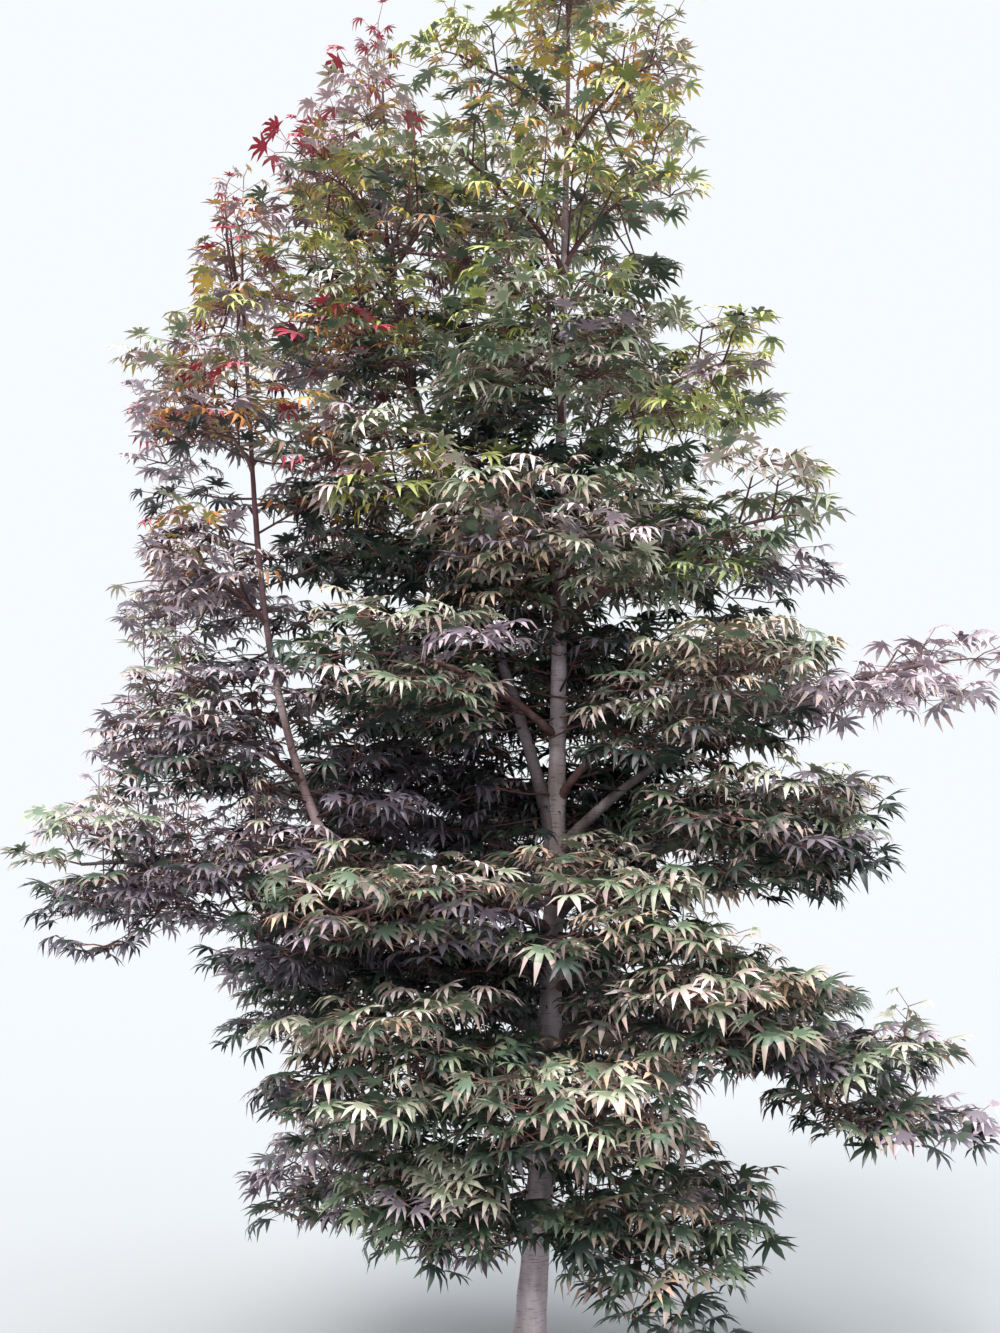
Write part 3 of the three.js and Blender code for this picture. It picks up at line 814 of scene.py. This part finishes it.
# The outline: from each height in the picture down to the next, how far to the right or left it reaches.
RIGHT_OUTLINE = [
    (0, 688), (52, 706), (104, 694), (142, 712), (196, 686), (224, 614), (252, 778), (330, 790), (440, 838),
    (560, 1000),
]
LEFT_OUTLINE = [
    (150, 212), (235, 192), (310, 0), (365, 128), (500, 140), (580, 112), (640, 128), (695, 92), (765, 0),
]
BEYOND = [(edge, top, PICTURE[0], low) for (top, edge), (low, _) in zip(RIGHT_OUTLINE, RIGHT_OUTLINE[1:])]
BEYOND += [(0, top, edge, low) for (top, edge), (low, _) in zip(LEFT_OUTLINE, LEFT_OUTLINE[1:])]
FRONT = -0.03  # what grows behind this Y hides no wood


def in_open_place(point):
    """Whether a leaf here would hide a bare stretch of wood or grow beyond the outline."""
    across, down = seen_at(point)
    places = BEYOND + BARE_STRETCHES if point[1] < FRONT else BEYOND
    return any(left < across < right and top < down < low for left, top, right, low in places)


print("open places", len(BARE_STRETCHES), "of wood and", len(BEYOND), "beyond the outline")

# %% [markdown]
# ## Twigs and leaf places
#
# A twig carries its leaves in opposite pairs. Some pairs are short side shoots that end in a cluster of
# leaves. Every leaf hangs from a thin red stalk, and its blade heads outwards and droops. The paths of
# shoots and stalks and the place of each leaf are only listed here, and become meshes all at once,
# because thousands of separate objects would be slow to make and to render.

# %% List a leaf and its stalk
STALK = 0.032
BLADE = 0.05
SPRAY_REACH = 0.165
# Leaves may stand out of the imported model's box by 3 % of each side.
ALLOWANCE = 0.03 * (np.array(CAD_BOX[1]) - np.array(CAD_BOX[0]))
LOWEST, HIGHEST = np.array(CAD_BOX[0]) - ALLOWANCE, np.array(CAD_BOX[1]) + ALLOWANCE
# The share of leaves that the crown lacks, where the sky shows through. Young shoots keep their small ones.
CROWN_LOSS = 0.5
SMALL = 0.72
stalks, leaves = [], []


def add_leaf(spray, node, direction, size, roll):
    """Adds a leaf on a stalk that leaves a shoot in a direction."""
    base = node + unit(direction + UP * lerp(-0.3, 0.9, roll())) * STALK * lerp(0.6, 1.5, roll())
    turned = level(direction) + left_of(direction) * (roll() - 0.5) * 2
    heading = unit(unit(turned) - UP * lerp(-0.35, 0.4, roll()))
    blade = BLADE * size * lerp(0.78, 1.14, roll())
    over = np.linalg.norm(base + heading * blade - spray["heart"]) - SPRAY_REACH
    if over > 0 and np.dot(heading, base - spray["heart"]) > 0:
        base = base - unit(base - spray["heart"]) * min(over, 0.03)
    lost = roll() < CROWN_LOSS * rise(base[2], 1.5, 2.2) and size > SMALL
    tip = base + heading * blade
    outside = np.any(tip < LOWEST) or np.any(tip > HIGHEST)
    if lost or outside or in_open_place(base) or in_open_place(base + heading * blade * 0.6):
        return
    stalks.append((node, base))
    tilt, curl = (roll() - 0.5) * 1.1, lerp(0.15, 0.65, roll())
    leaf = {"base": base, "heading": heading, "tilt": tilt, "blade": blade, "curl": curl}
    leaves.append(leaf | {"chance": roll(), "spray": spray})


def add_cluster(spray, node, direction, size, roll):
    """Three leaves at the end of a shoot."""
    side = left_of(direction)
    add_leaf(spray, node, direction, size * 1.05, roll)
    for hand in (1, -1):
        add_leaf(spray, node, direction * 0.6 + side * hand * lerp(0.7, 1.1, roll()), size, roll)


print("leaves keep between", LOWEST.round(3), "and", HIGHEST.round(3))

# %% Grow each spray's shoots
NODE_GAP = 0.035
SHOOT_FOOT = 0.03
SIDE_SHOOT = 0.06
SAG, ARCH = UP * 0.004, UP * 0.003
SPRAY_SEED = 500
YOUNG_TOP = 2.7
shoots, side_shoots = [], []


def grow_spray(spray, roll):
    """One spray: its main shoot, its side shoots and its leaves."""
    start, heart = spray["start"], spray["heart"]
    onward = unit(level(spray["hang"]) + UP * lerp(-0.45, 0.15, roll()))
    end = heart + onward * lerp(0.02, 0.085, roll())
    if in_open_place(end):
        end = heart + onward * 0.01
    run = np.linalg.norm(heart - start)
    ahead = (heart - start) / run if run > 0 else onward
    shoots.append((start, lerp(start, heart, 0.5) - SAG, heart, lerp(heart, end, 0.5) + ARCH, end))
    length = run + np.linalg.norm(end - heart)
    high, leftmost = rise(heart[2], 1.6, 2.5), rise(-heart[0], 0.3, 0.5)
    size = lerp(0.92, 1.1, roll()) * lerp(1, 0.95, high) * lerp(1, 0.86, leftmost)
    for order in range(max(1, int((length - SHOOT_FOOT) / NODE_GAP))):
        far = length - (order + 1) * NODE_GAP * lerp(0.9, 1.1, roll())
        past = far - run
        node = heart + onward * past if past > 0 else start + ahead * far
        direction = onward if past > 0 else ahead
        side = left_of(direction)
        for hand in (1, -1):
            spread = unit(direction * lerp(0.35, 0.8, roll()) + side * hand + UP * 0.4 * (roll() - 0.5))
            if order % 2 == 0 and far > 0.02:
                tip = node + spread * SIDE_SHOOT * lerp(0.6, 1.2, roll())
                if not in_open_place(tip):
                    side_shoots.append((node, (node + tip) / 2 + ARCH, tip))
                add_cluster(spray, tip, spread, size * 0.95, roll)
            else:
                add_leaf(spray, node, spread, size, roll)
    add_cluster(spray, end, onward, size, roll)


def grow_young_shoot(spray, roll):
    """A thin upright shoot with small leaves, such as the crown's outline has."""
    heart, aside = spray["heart"], level(spray["hang"])
    end = heart + unit(UP + aside * lerp(-0.1, 0.5, roll())) * lerp(0.08, 0.13, roll())
    if in_open_place(end):
        return
    side_shoots.append((heart, lerp(heart, end, 0.5) + aside * 0.005, end))
    for order in range(4):
        node = lerp(heart, end, (order + 1) / 4)
        turn = order * math.pi / 2 + roll()
        for hand in (1, -1):
            direction = np.array([math.cos(turn) * hand, math.sin(turn) * hand, 0.5])
            add_leaf(spray, node, direction, lerp(SMALL, 0.45, order / 3), roll)


for tier in tiers:
    roll = dice(SPRAY_SEED + tier["index"])
    tried = tier["sprays"]
    tier["sprays"] = [s for s in tried if roll() < tier["grown"] and not in_open_place(s["heart"])]
    for spray in tier["sprays"]:
        spray["tier"] = tier
        grow_spray(spray, roll)
        if roll() < tier["upright"] and spray["heart"][2] < YOUNG_TOP:
            grow_young_shoot(spray, roll)
print("shoots", len(shoots), "side shoots", len(side_shoots), "leaves", len(leaves))

# %% [markdown]
# ## From paths to twigs
#
# A twig is a thin tube along a short path. Curves with a bevel would do, but thousands of them are slow
# to convert. With arrays the rings of all the tubes of one kind are laid at once, as a single mesh. Their
# ends are sunk in wood or hidden under a leaf, but are closed.

# %% Lay many thin tubes at once
def copied(faces, count, step):
    """The faces of many copies of one small mesh, whose vertices follow one another."""
    return (faces[None] + (np.arange(count) * step)[:, None, None]).reshape(-1, 3)


def thin_tubes(paths, radii, sides):
    """Vertices and triangles of tubes along paths that all have as many points."""
    paths = np.array(paths)
    count, points, _ = paths.shape
    along = np.gradient(paths, axis=1)
    along /= np.linalg.norm(along, axis=2, keepdims=True) + 1e-12
    side = np.cross(along, UP)
    side /= np.linalg.norm(side, axis=2, keepdims=True) + 1e-9
    other = np.cross(along, side)
    turns = (np.arange(sides) * math.tau / sides)[:, None]
    ring = side[:, :, None] * np.cos(turns) + other[:, :, None] * np.sin(turns)
    rims = paths[:, :, None] + ring * np.array(radii)[None, :, None, None]
    faces = []
    for step in range(points - 1):
        for k in range(sides):
            a, b = step * sides + k, step * sides + (k + 1) % sides
            faces += [(a, b, b + sides), (a, b + sides, a + sides)]
    last = (points - 1) * sides
    for k in range(1, sides - 1):
        faces += [(0, k + 1, k), (last, last + k, last + k + 1)]
    return rims.reshape(-1, 3), copied(np.array(faces), count, points * sides)


# %% Join the twigs and stalks into pieces
def joined_piece(name, vertices, faces, finishes, slot, worn=None):
    """One smooth mesh of many small things, from arrays of vertices and triangles."""
    mesh = bpy.data.meshes.new(name)
    mesh.from_pydata(vertices, [], faces)
    for finish in finishes:
        mesh.materials.append(finish)
    if worn is not None:
        mesh.polygons.foreach_set("material_index", np.int32(worn))
    piece = new_object(name, mesh)
    take_up(piece)
    bpy.ops.object.shade_smooth()
    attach(piece, "root")
    print(name, "triangles", len(mesh.polygons))
    return piece


def plain_finish(name, code, roughness):
    finish, _, shader = new_finish(name, roughness)
    shader.inputs["Base Color"].default_value = colour(code)
    return finish


TWIG_BARK = plain_finish("twig_bark", "5d4040", 0.6)
SHOOT_BARK = plain_finish("shoot_bark", "734b47", 0.5)
STALK_RED = plain_finish("stalk_red", "8f5f56", 0.45)
for name, paths, radii, sides, finish in [
    ("twigs", shoots, (0.0024, 0.0021, 0.0017, 0.0014, 0.0010), 5, TWIG_BARK),
    ("side_shoots", side_shoots, (0.0013, 0.0011, 0.0009), 4, SHOOT_BARK),
    ("leaf_stalks", stalks, (0.0008, 0.0006), 3, STALK_RED),
]:
    joined_piece(name, *thin_tubes(paths, radii, sides), [finish], "bark")

# %% [markdown]
# ## One leaf
#
# The blade has seven pointed lobes, cut about two thirds of the way to its heart. An image on a flat card
# would be lighter, but its lobes couldn't droop. So the leaf is modelled, flat and once: a fan of
# triangles from the heart, whose rim steps from the notches between the lobes to the ribs and back. Five
# lobes are extruded from their two edges to their widest place and again to their tip, where the new edge
# is merged to a point. The two small ones beside the stalk stay points of the fan. The ribs are lifted a
# little, so each lobe folds like a keel.

# %% The leaf's measures, and helpers to pick its corners
LOBES = [(112, 0.45), (70, 0.8), (34, 0.96), (0, 1.0), (-34, 0.96), (-70, 0.8), (-112, 0.45)]
NOTCHES = [(150, 0.1), (94, 0.19), (52, 0.27), (17, 0.31), (-17, 0.31), (-52, 0.27), (-94, 0.19), (-150, 0.1)]
RIB_LIFT = 0.025
LOBE_FOOT, LOBE_BELLY = 0.36, 0.6  # how far along a lobe its extrusion begins, and where it is widest
BELLY = 8.5  # degrees from a lobe's rib to its edge, at its widest


def polar(angle, reach, lift=0.0):
    turn = math.radians(angle)
    return (reach * math.cos(turn), reach * math.sin(turn), lift)


def pick(mesh, indices):
    """Selects some vertices and nothing else, and goes into edit mode."""
    bpy.ops.object.mode_set(mode="OBJECT")
    for part in (mesh.vertices, mesh.edges, mesh.polygons):
        part.foreach_set("select", [False] * len(part))
    for index in indices:
        mesh.vertices[index].select = True
    bpy.ops.object.mode_set(mode="EDIT")


def picked(mesh):
    """The selected vertices, once back in object mode."""
    bpy.ops.object.mode_set(mode="OBJECT")
    return [vertex.index for vertex in mesh.vertices if vertex.select]


def turn_of(point):
    return math.degrees(math.atan2(point[1], point[0]))


def from_left(places, indices):
    """Vertices of the leaf in order, from its left round to its right."""
    return sorted(indices, key=lambda index: -turn_of(places[index].co))


# %% Model the leaf
fresh_start()
bpy.ops.mesh.primitive_circle_add(vertices=15, radius=0.3, fill_type="TRIFAN", location=(0, 0, 0))
leaf = bpy.context.object
places = leaf.data.vertices
rim = from_left(places, range(1, 16))
notches, ribs = rim[::2], rim[1::2]
for index, place in zip(notches, NOTCHES):
    places[index].co = polar(*place)
for index, (angle, reach) in zip(ribs, LOBES):
    small = abs(angle) > 90
    places[index].co = polar(angle, reach if small else LOBE_FOOT * reach, 0 if small else RIB_LIFT)

bpy.ops.object.mode_set(mode="EDIT")
bpy.ops.mesh.select_mode(type="VERT")
for order, (angle, reach) in list(enumerate(LOBES))[1:-1]:
    pick(leaf.data, [notches[order], ribs[order], notches[order + 1]])
    bpy.ops.mesh.extrude_edges_move()
    belly = from_left(places, picked(leaf.data))
    for index, swing, lift in zip(belly, (BELLY, 0, -BELLY), (0, 1.2 * RIB_LIFT, 0)):
        places[index].co = polar(angle + swing, LOBE_BELLY * reach, lift)
    pick(leaf.data, belly)
    bpy.ops.mesh.extrude_edges_move()
    bpy.ops.mesh.merge(type="CENTER")
    places[picked(leaf.data)[0]].co = polar(angle, reach)
pick(leaf.data, range(len(places)))
bpy.ops.mesh.quads_convert_to_tris()
bpy.ops.mesh.normals_make_consistent(inside=False)
fresh_start()
LEAF_POINTS = np.array([vertex.co for vertex in leaf.data.vertices])
LEAF_FACES = np.array([face.vertices for face in leaf.data.polygons])
bpy.data.objects.remove(leaf)
print("leaf vertices", len(LEAF_POINTS), "faces", len(LEAF_FACES))

# %% Sort the leaf's faces from heart to tip
def zone_of(face):
    """Which part of the leaf a face belongs to: 0 for its heart, 1 for a lobe's middle, 2 for its tip."""
    middle = LEAF_POINTS[face].mean(axis=0)
    _, reach = min(LOBES, key=lambda lobe: abs(math.remainder(turn_of(middle) - lobe[0], 360)))
    share = math.hypot(middle[0], middle[1]) / reach
    return 0 if share < 0.3 else 1 if share < 0.6 else 2


LEAF_ZONES = np.array([zone_of(face) for face in LEAF_FACES])
print("faces by zone", np.bincount(LEAF_ZONES))

# %% [markdown]
# ## Tints
#
# In early autumn the leaves in the shade are dark green or purple, and those in the light pale: to cream,
# tan and pink low on the tree, to mauve on its left, and to olive and gold in the crown, with a few orange
# and crimson shoots. The pale tints are partly the leaves' own autumn colour and partly painted light, and
# the dark tints of the shaded leaves are painted shade. A pattern across thousands of leaves would be lost
# when the tree is exported, so the tints are plain colours with a satin sheen, and each spray is dealt
# three: for the hearts of its leaves, the middles of their lobes, and the tips, which turn first.

# %% The tints
TINTS = dict(pair.split() for pair in """
deep_green 212c28, dark_green 334137, shade_green 475646, leaf_green 64755e, sage 879174,
pale_sage afb19a, cream_green cbc7b3, cream e2d7c6, peach dcc2b2, pink_tan c7aca6,
tan a08d80, bronze 70605a, dark_bronze 40383a, olive 7c8650, moss a1a965,
yellow_green c0c674, gold ccb158, orange bf7a42, crimson b0344a, plum 433d46,
dull_purple 625863, mauve 82757f, grey_mauve a5979f, pink_mauve c6b0ba, pale_pink e4d3d0,
apricot d9b79c, wine 70404c, rose_brown 8d6068
""".split(","))
LEAF_FINISHES = [plain_finish(name + "_leaf", code, 0.4) for name, code in TINTS.items()]
for finish in LEAF_FINISHES:
    finish.node_tree.nodes["Principled BSDF"].inputs["Specular IOR Level"].default_value = 0.75
print("tints", len(TINTS))

# %% The families of tints
# For each family a row for each light, from the deepest shade to the full light, with its choices of the
# tints of heart, middle and tip: the steps from row to row are painted shade and painted light. Where fewer
# than three are named, the first stands for the missing ones, and a row that ends in a comma runs on in
# the next line.
FAMILIES = {
    "green": """deep_green, deep_green dark_green, dark_green deep_green deep_green
dark_green, dark_green shade_green, shade_green dark_green dark_green
shade_green leaf_green, shade_green bronze, leaf_green shade_green leaf_green
leaf_green sage, leaf_green tan, leaf_green sage sage
leaf_green sage pale_sage, sage pale_sage cream_green, sage pale_sage pink_tan""",
    "bronze": """deep_green, dark_green deep_green plum, deep_green dark_bronze
dark_green dark_bronze, dark_green shade_green, shade_green dark_bronze bronze
shade_green bronze, shade_green leaf_green tan, leaf_green shade_green bronze
leaf_green sage pink_tan, leaf_green sage pale_sage, leaf_green sage tan, sage tan apricot
sage pale_sage cream, pale_sage cream_green cream, pale_sage pink_tan pale_pink, sage pale_sage peach,
sage pale_sage apricot""",
    "mauve": """plum, deep_green plum plum, deep_green plum
plum dull_purple dull_purple, dark_green plum dull_purple, dark_green dull_purple
dull_purple mauve, dark_bronze mauve mauve, shade_green dull_purple mauve
mauve grey_mauve, mauve grey_mauve pink_mauve, bronze mauve pink_tan, mauve pink_mauve
grey_mauve pink_mauve pale_pink, mauve grey_mauve pink_mauve, grey_mauve pink_mauve pink_mauve""",
    "gold": """dark_green, dark_green deep_green dark_green
dark_green shade_green leaf_green, shade_green olive, shade_green olive leaf_green
shade_green leaf_green moss, leaf_green olive moss, leaf_green tan
leaf_green moss yellow_green, olive moss yellow_green, leaf_green sage pale_sage, olive moss gold
moss yellow_green yellow_green, sage yellow_green gold, sage pale_sage cream_green, sage tan peach""",
    "young": """dark_bronze bronze, dark_bronze wine wine
bronze orange, dull_purple wine rose_brown, wine rose_brown mauve
olive bronze orange, rose_brown mauve, moss tan orange, wine rose_brown
tan gold orange, mauve grey_mauve crimson, moss gold orange, rose_brown crimson crimson
crimson, gold orange orange, grey_mauve pink_mauve pink_mauve, gold orange""",
    "amber": """dark_green bronze bronze, dark_green dark_bronze bronze
shade_green bronze orange, olive bronze bronze
olive moss orange, moss tan orange, olive orange
moss gold orange, tan gold orange, olive gold gold
gold orange, yellow_green gold orange, gold orange orange""",
}
LIGHTS = 5


def heart_to_tip(choice):
    """The tints of heart, middle and tip, as places in the list of finishes."""
    places = [list(TINTS).index(name) for name in choice.split()]
    return places[:1] * (3 - len(places)) + places


CHOICES = {}
for family, text in FAMILIES.items():
    rows = text.replace(",\n", ",").splitlines()
    CHOICES[family] = [[heart_to_tip(choice) for choice in row.split(",")] for row in rows]
print("families", *CHOICES)

# %% [markdown]
# A spray mostly takes the family of its tier, and else one that prevails around it. How much light is
# painted into its tints comes from its place: most at the top and at the outer end of its tier and high in
# the crown, least near the trunk.

# %% Deal each spray its tints
TINT_SEED = 77
TINT_SEED_STEP = 7919


def family_of(tier, point, roll):
    """Which family a spray takes its tints from."""
    x, y, z = point
    weights = {
        tier["tint"]: 1.0,
        "mauve": (1.5 * rise(-x, 0.25, 0.55) + 0.9 * rise(x, 0.42, 0.65) + 0.06) * rise(2.5 - z, 0, 0.9),
        "gold": 0.8 * rise(z, 1.35, 1.9),
        "green": 0.3 + 0.3 * rise(y, 0, 0.3),
        "bronze": 0.8 * rise(-y, -0.1, 0.25) * rise(2.1 - z, 0, 0.6),
    }
    own = tier["own"]
    weights[tier["tint"]] = max(weights[tier["tint"]], own) if own >= 1 else own
    weights["young" if x < -0.12 else "amber"] = tier["young"]
    mark = roll * sum(weights.values())
    for name, weight in weights.items():
        mark -= weight
        if mark < 0:
            return name
    return tier["tint"]


def painted_light_on(tier, point, roll):
    """How much painted light a spray's tints take, from 0 to 1."""
    out, _, over = place_in(tier["space"], point)
    # Painted light: more at a tier's top and outer end, and more high in the crown, for sky shining through
    # leaves.
    light = 0.57 + 0.32 * over + 0.2 * out + 0.42 * (roll - 0.5) + 0.2 * rise(point[2], 1.1, 1.8)
    return min(max(light + tier["bright"], 0), 0.999)


def deal_tints(tier, spray, roll):
    """A spray's tints in each step of painted light, from the deepest painted shade to the light at its top.
    """
    choices = CHOICES[family_of(tier, spray["heart"], roll())]
    # Short twigs along the wood take little painted light: painted shade near the trunk.
    light = 0.5 * roll() if spray.get("inner") else painted_light_on(tier, spray["heart"], roll())
    spray["light"], chance = int(LIGHTS * light), roll()
    return [row[int(chance * len(row))] for row in choices]


for tier in tiers:
    roll = dice(TINT_SEED + TINT_SEED_STEP * tier["index"])
    for spray in tier["sprays"]:
        spray["tints"] = deal_tints(tier, spray, roll)
lights = np.bincount([spray["light"] for tier in tiers for spray in tier["sprays"]])
print("sprays in each light, from shade to sun", lights)

# %% [markdown]
# ## Over eighteen thousand leaves
#
# Each leaf is the flat model, turned and set on the end of its stalk. Its lobes curl down, each leaf by
# its own amount, which gives the soft umbrella shape. Arrays do this for all the leaves of a family of
# tints at once, and each family becomes a few joined pieces.

# %% Set the leaves
SHADE_DEPTH = 0.03
MOST_FACES = 190_000


def arrays_of(records, *keys):
    return [np.array([leaf[key] for leaf in records]) for key in keys]


def leaf_vertices(records):
    """The vertices of many leaves, curled, turned and set in place."""
    base, x, tilt, blade = arrays_of(records, "base", "heading", "tilt", "blade")
    curl, chance = arrays_of(records, "curl", "chance")
    flat_y = np.cross(UP, x)
    flat_y /= np.linalg.norm(flat_y, axis=1, keepdims=True)
    flat_z = np.cross(x, flat_y)
    y = flat_y * np.cos(tilt)[:, None] + flat_z * np.sin(tilt)[:, None]
    z = np.cross(x, y)
    reach = np.hypot(LEAF_POINTS[:, 0], LEAF_POINTS[:, 1])[None]
    angle = np.arctan2(LEAF_POINTS[:, 1], LEAF_POINTS[:, 0])[None]
    drop = curl[:, None] * (1 + 0.35 * np.sin(2 * angle + 9 * chance[:, None])) * reach**2.6
    drawn_in = 1 - 0.42 * drop * reach
    swing = 0.12 * np.sin(3 * angle + 20 * chance[:, None]) * reach
    local_x = reach * np.cos(angle + swing) * drawn_in
    local_y = reach * np.sin(angle + swing) * drawn_in
    local_z = LEAF_POINTS[None, :, 2] - drop
    local = np.stack([local_x, local_y, local_z], axis=2) * blade[:, None, None]
    axes = np.stack([x, y, z], axis=1)
    return (base[:, None] + np.einsum("lvk,lkj->lvj", local, axes)).reshape(-1, 3)


def leaf_tints(records):
    """The finish of every face of many leaves: painted shade below a spray's heart, painted light above."""
    base, chance, sprays = arrays_of(records, "base", "chance", "spray")
    dealt, light, heart = arrays_of(sprays, "tints", "light", "heart")
    above = base[:, 2] - heart[:, 2]
    # A bright tier's extra painted light weakens the painted shade on its lower leaves.
    shade = np.array([1 - spray["tier"]["bright"] for spray in sprays])
    shift = np.clip(np.round((above / SHADE_DEPTH - 0.5 + 2.2 * (chance - 0.5)) * shade), -2, 1)
    step = np.clip(light + shift, 0, LIGHTS - 1).astype(int)
    return dealt[np.arange(len(records)), step][:, LEAF_ZONES].ravel()


for family in ("green", "bronze", "mauve", "gold"):
    records = [leaf for leaf in leaves if leaf["spray"]["tier"]["tint"] == family]
    pieces = math.ceil(len(records) / (MOST_FACES // len(LEAF_FACES)))
    for part in range(pieces):
        chosen = records[part::pieces]
        faces = copied(LEAF_FACES, len(chosen), len(LEAF_POINTS))
        name, slot = f"{family}_leaves_{part + 1}", family + "_foliage"
        piece = joined_piece(name, leaf_vertices(chosen), faces, LEAF_FINISHES, slot, leaf_tints(chosen))
        if part == 0:
            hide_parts(*[tier["name"] + "_foliage" for tier in tiers if tier["tint"] == family])

# %% [markdown]
# ## Floor and light
#
# The tree stands on a plain pale floor under a soft, bright sky. Broad lamps from the front and from
# above light the tops of the tiers and leave the heart of the crown in shade. They are sun lamps, so the
# floor is as bright far away as near. The front one is a little warm and the others a little blue, as
# light is in open shade. The plain colour view keeps the sky white and the shade dark.

# %% Lay the floor and hang the lamps
fresh_start()
bpy.ops.mesh.primitive_plane_add(size=90, location=(0, 0, -0.001))
floor = bpy.context.object
floor.name = "floor"
floor.data.materials.append(plain_finish("pale_floor", "abacad", 0.9))

world = bpy.data.worlds.new("sky")
world.use_nodes = True
world.node_tree.nodes["Background"].inputs["Color"].default_value = (0.93, 0.965, 1.0, 1)
world.node_tree.nodes["Background"].inputs["Strength"].default_value = 1
bpy.context.scene.world = world
bpy.context.scene.view_settings.view_transform = "Standard"


def lamp(name, elevation, bearing, power, softness, shade):
    """A broad, distant lamp that shines from a bearing and height, both in degrees."""
    data = bpy.data.lights.new(name, "SUN")
    data.energy = power
    data.angle = math.radians(softness)
    data.color = shade
    new_object(name, data).rotation_euler = (math.radians(90 - elevation), 0, math.radians(bearing + 90))


lamp("key_lamp", 42, 245, 2.6, 25, (1.0, 0.98, 0.955))
lamp("top_lamp", 80, 270, 2.1, 50, (0.92, 0.96, 1.0))
lamp("side_lamp", 25, 320, 0.8, 60, (0.86, 0.93, 1.0))
print("lamps hung")

# %% [markdown]
# ## The size of the model
#
# The leaves keep within the imported model's box, apart from a small allowance, and the lesson ends by
# writing down that box, rounded to the millimetre. The dressed tree has to stay within the imported model's
# box, apart from a small allowance.

# %% Measure and finish
print("packed", to_millimetre(CAD_BOX))
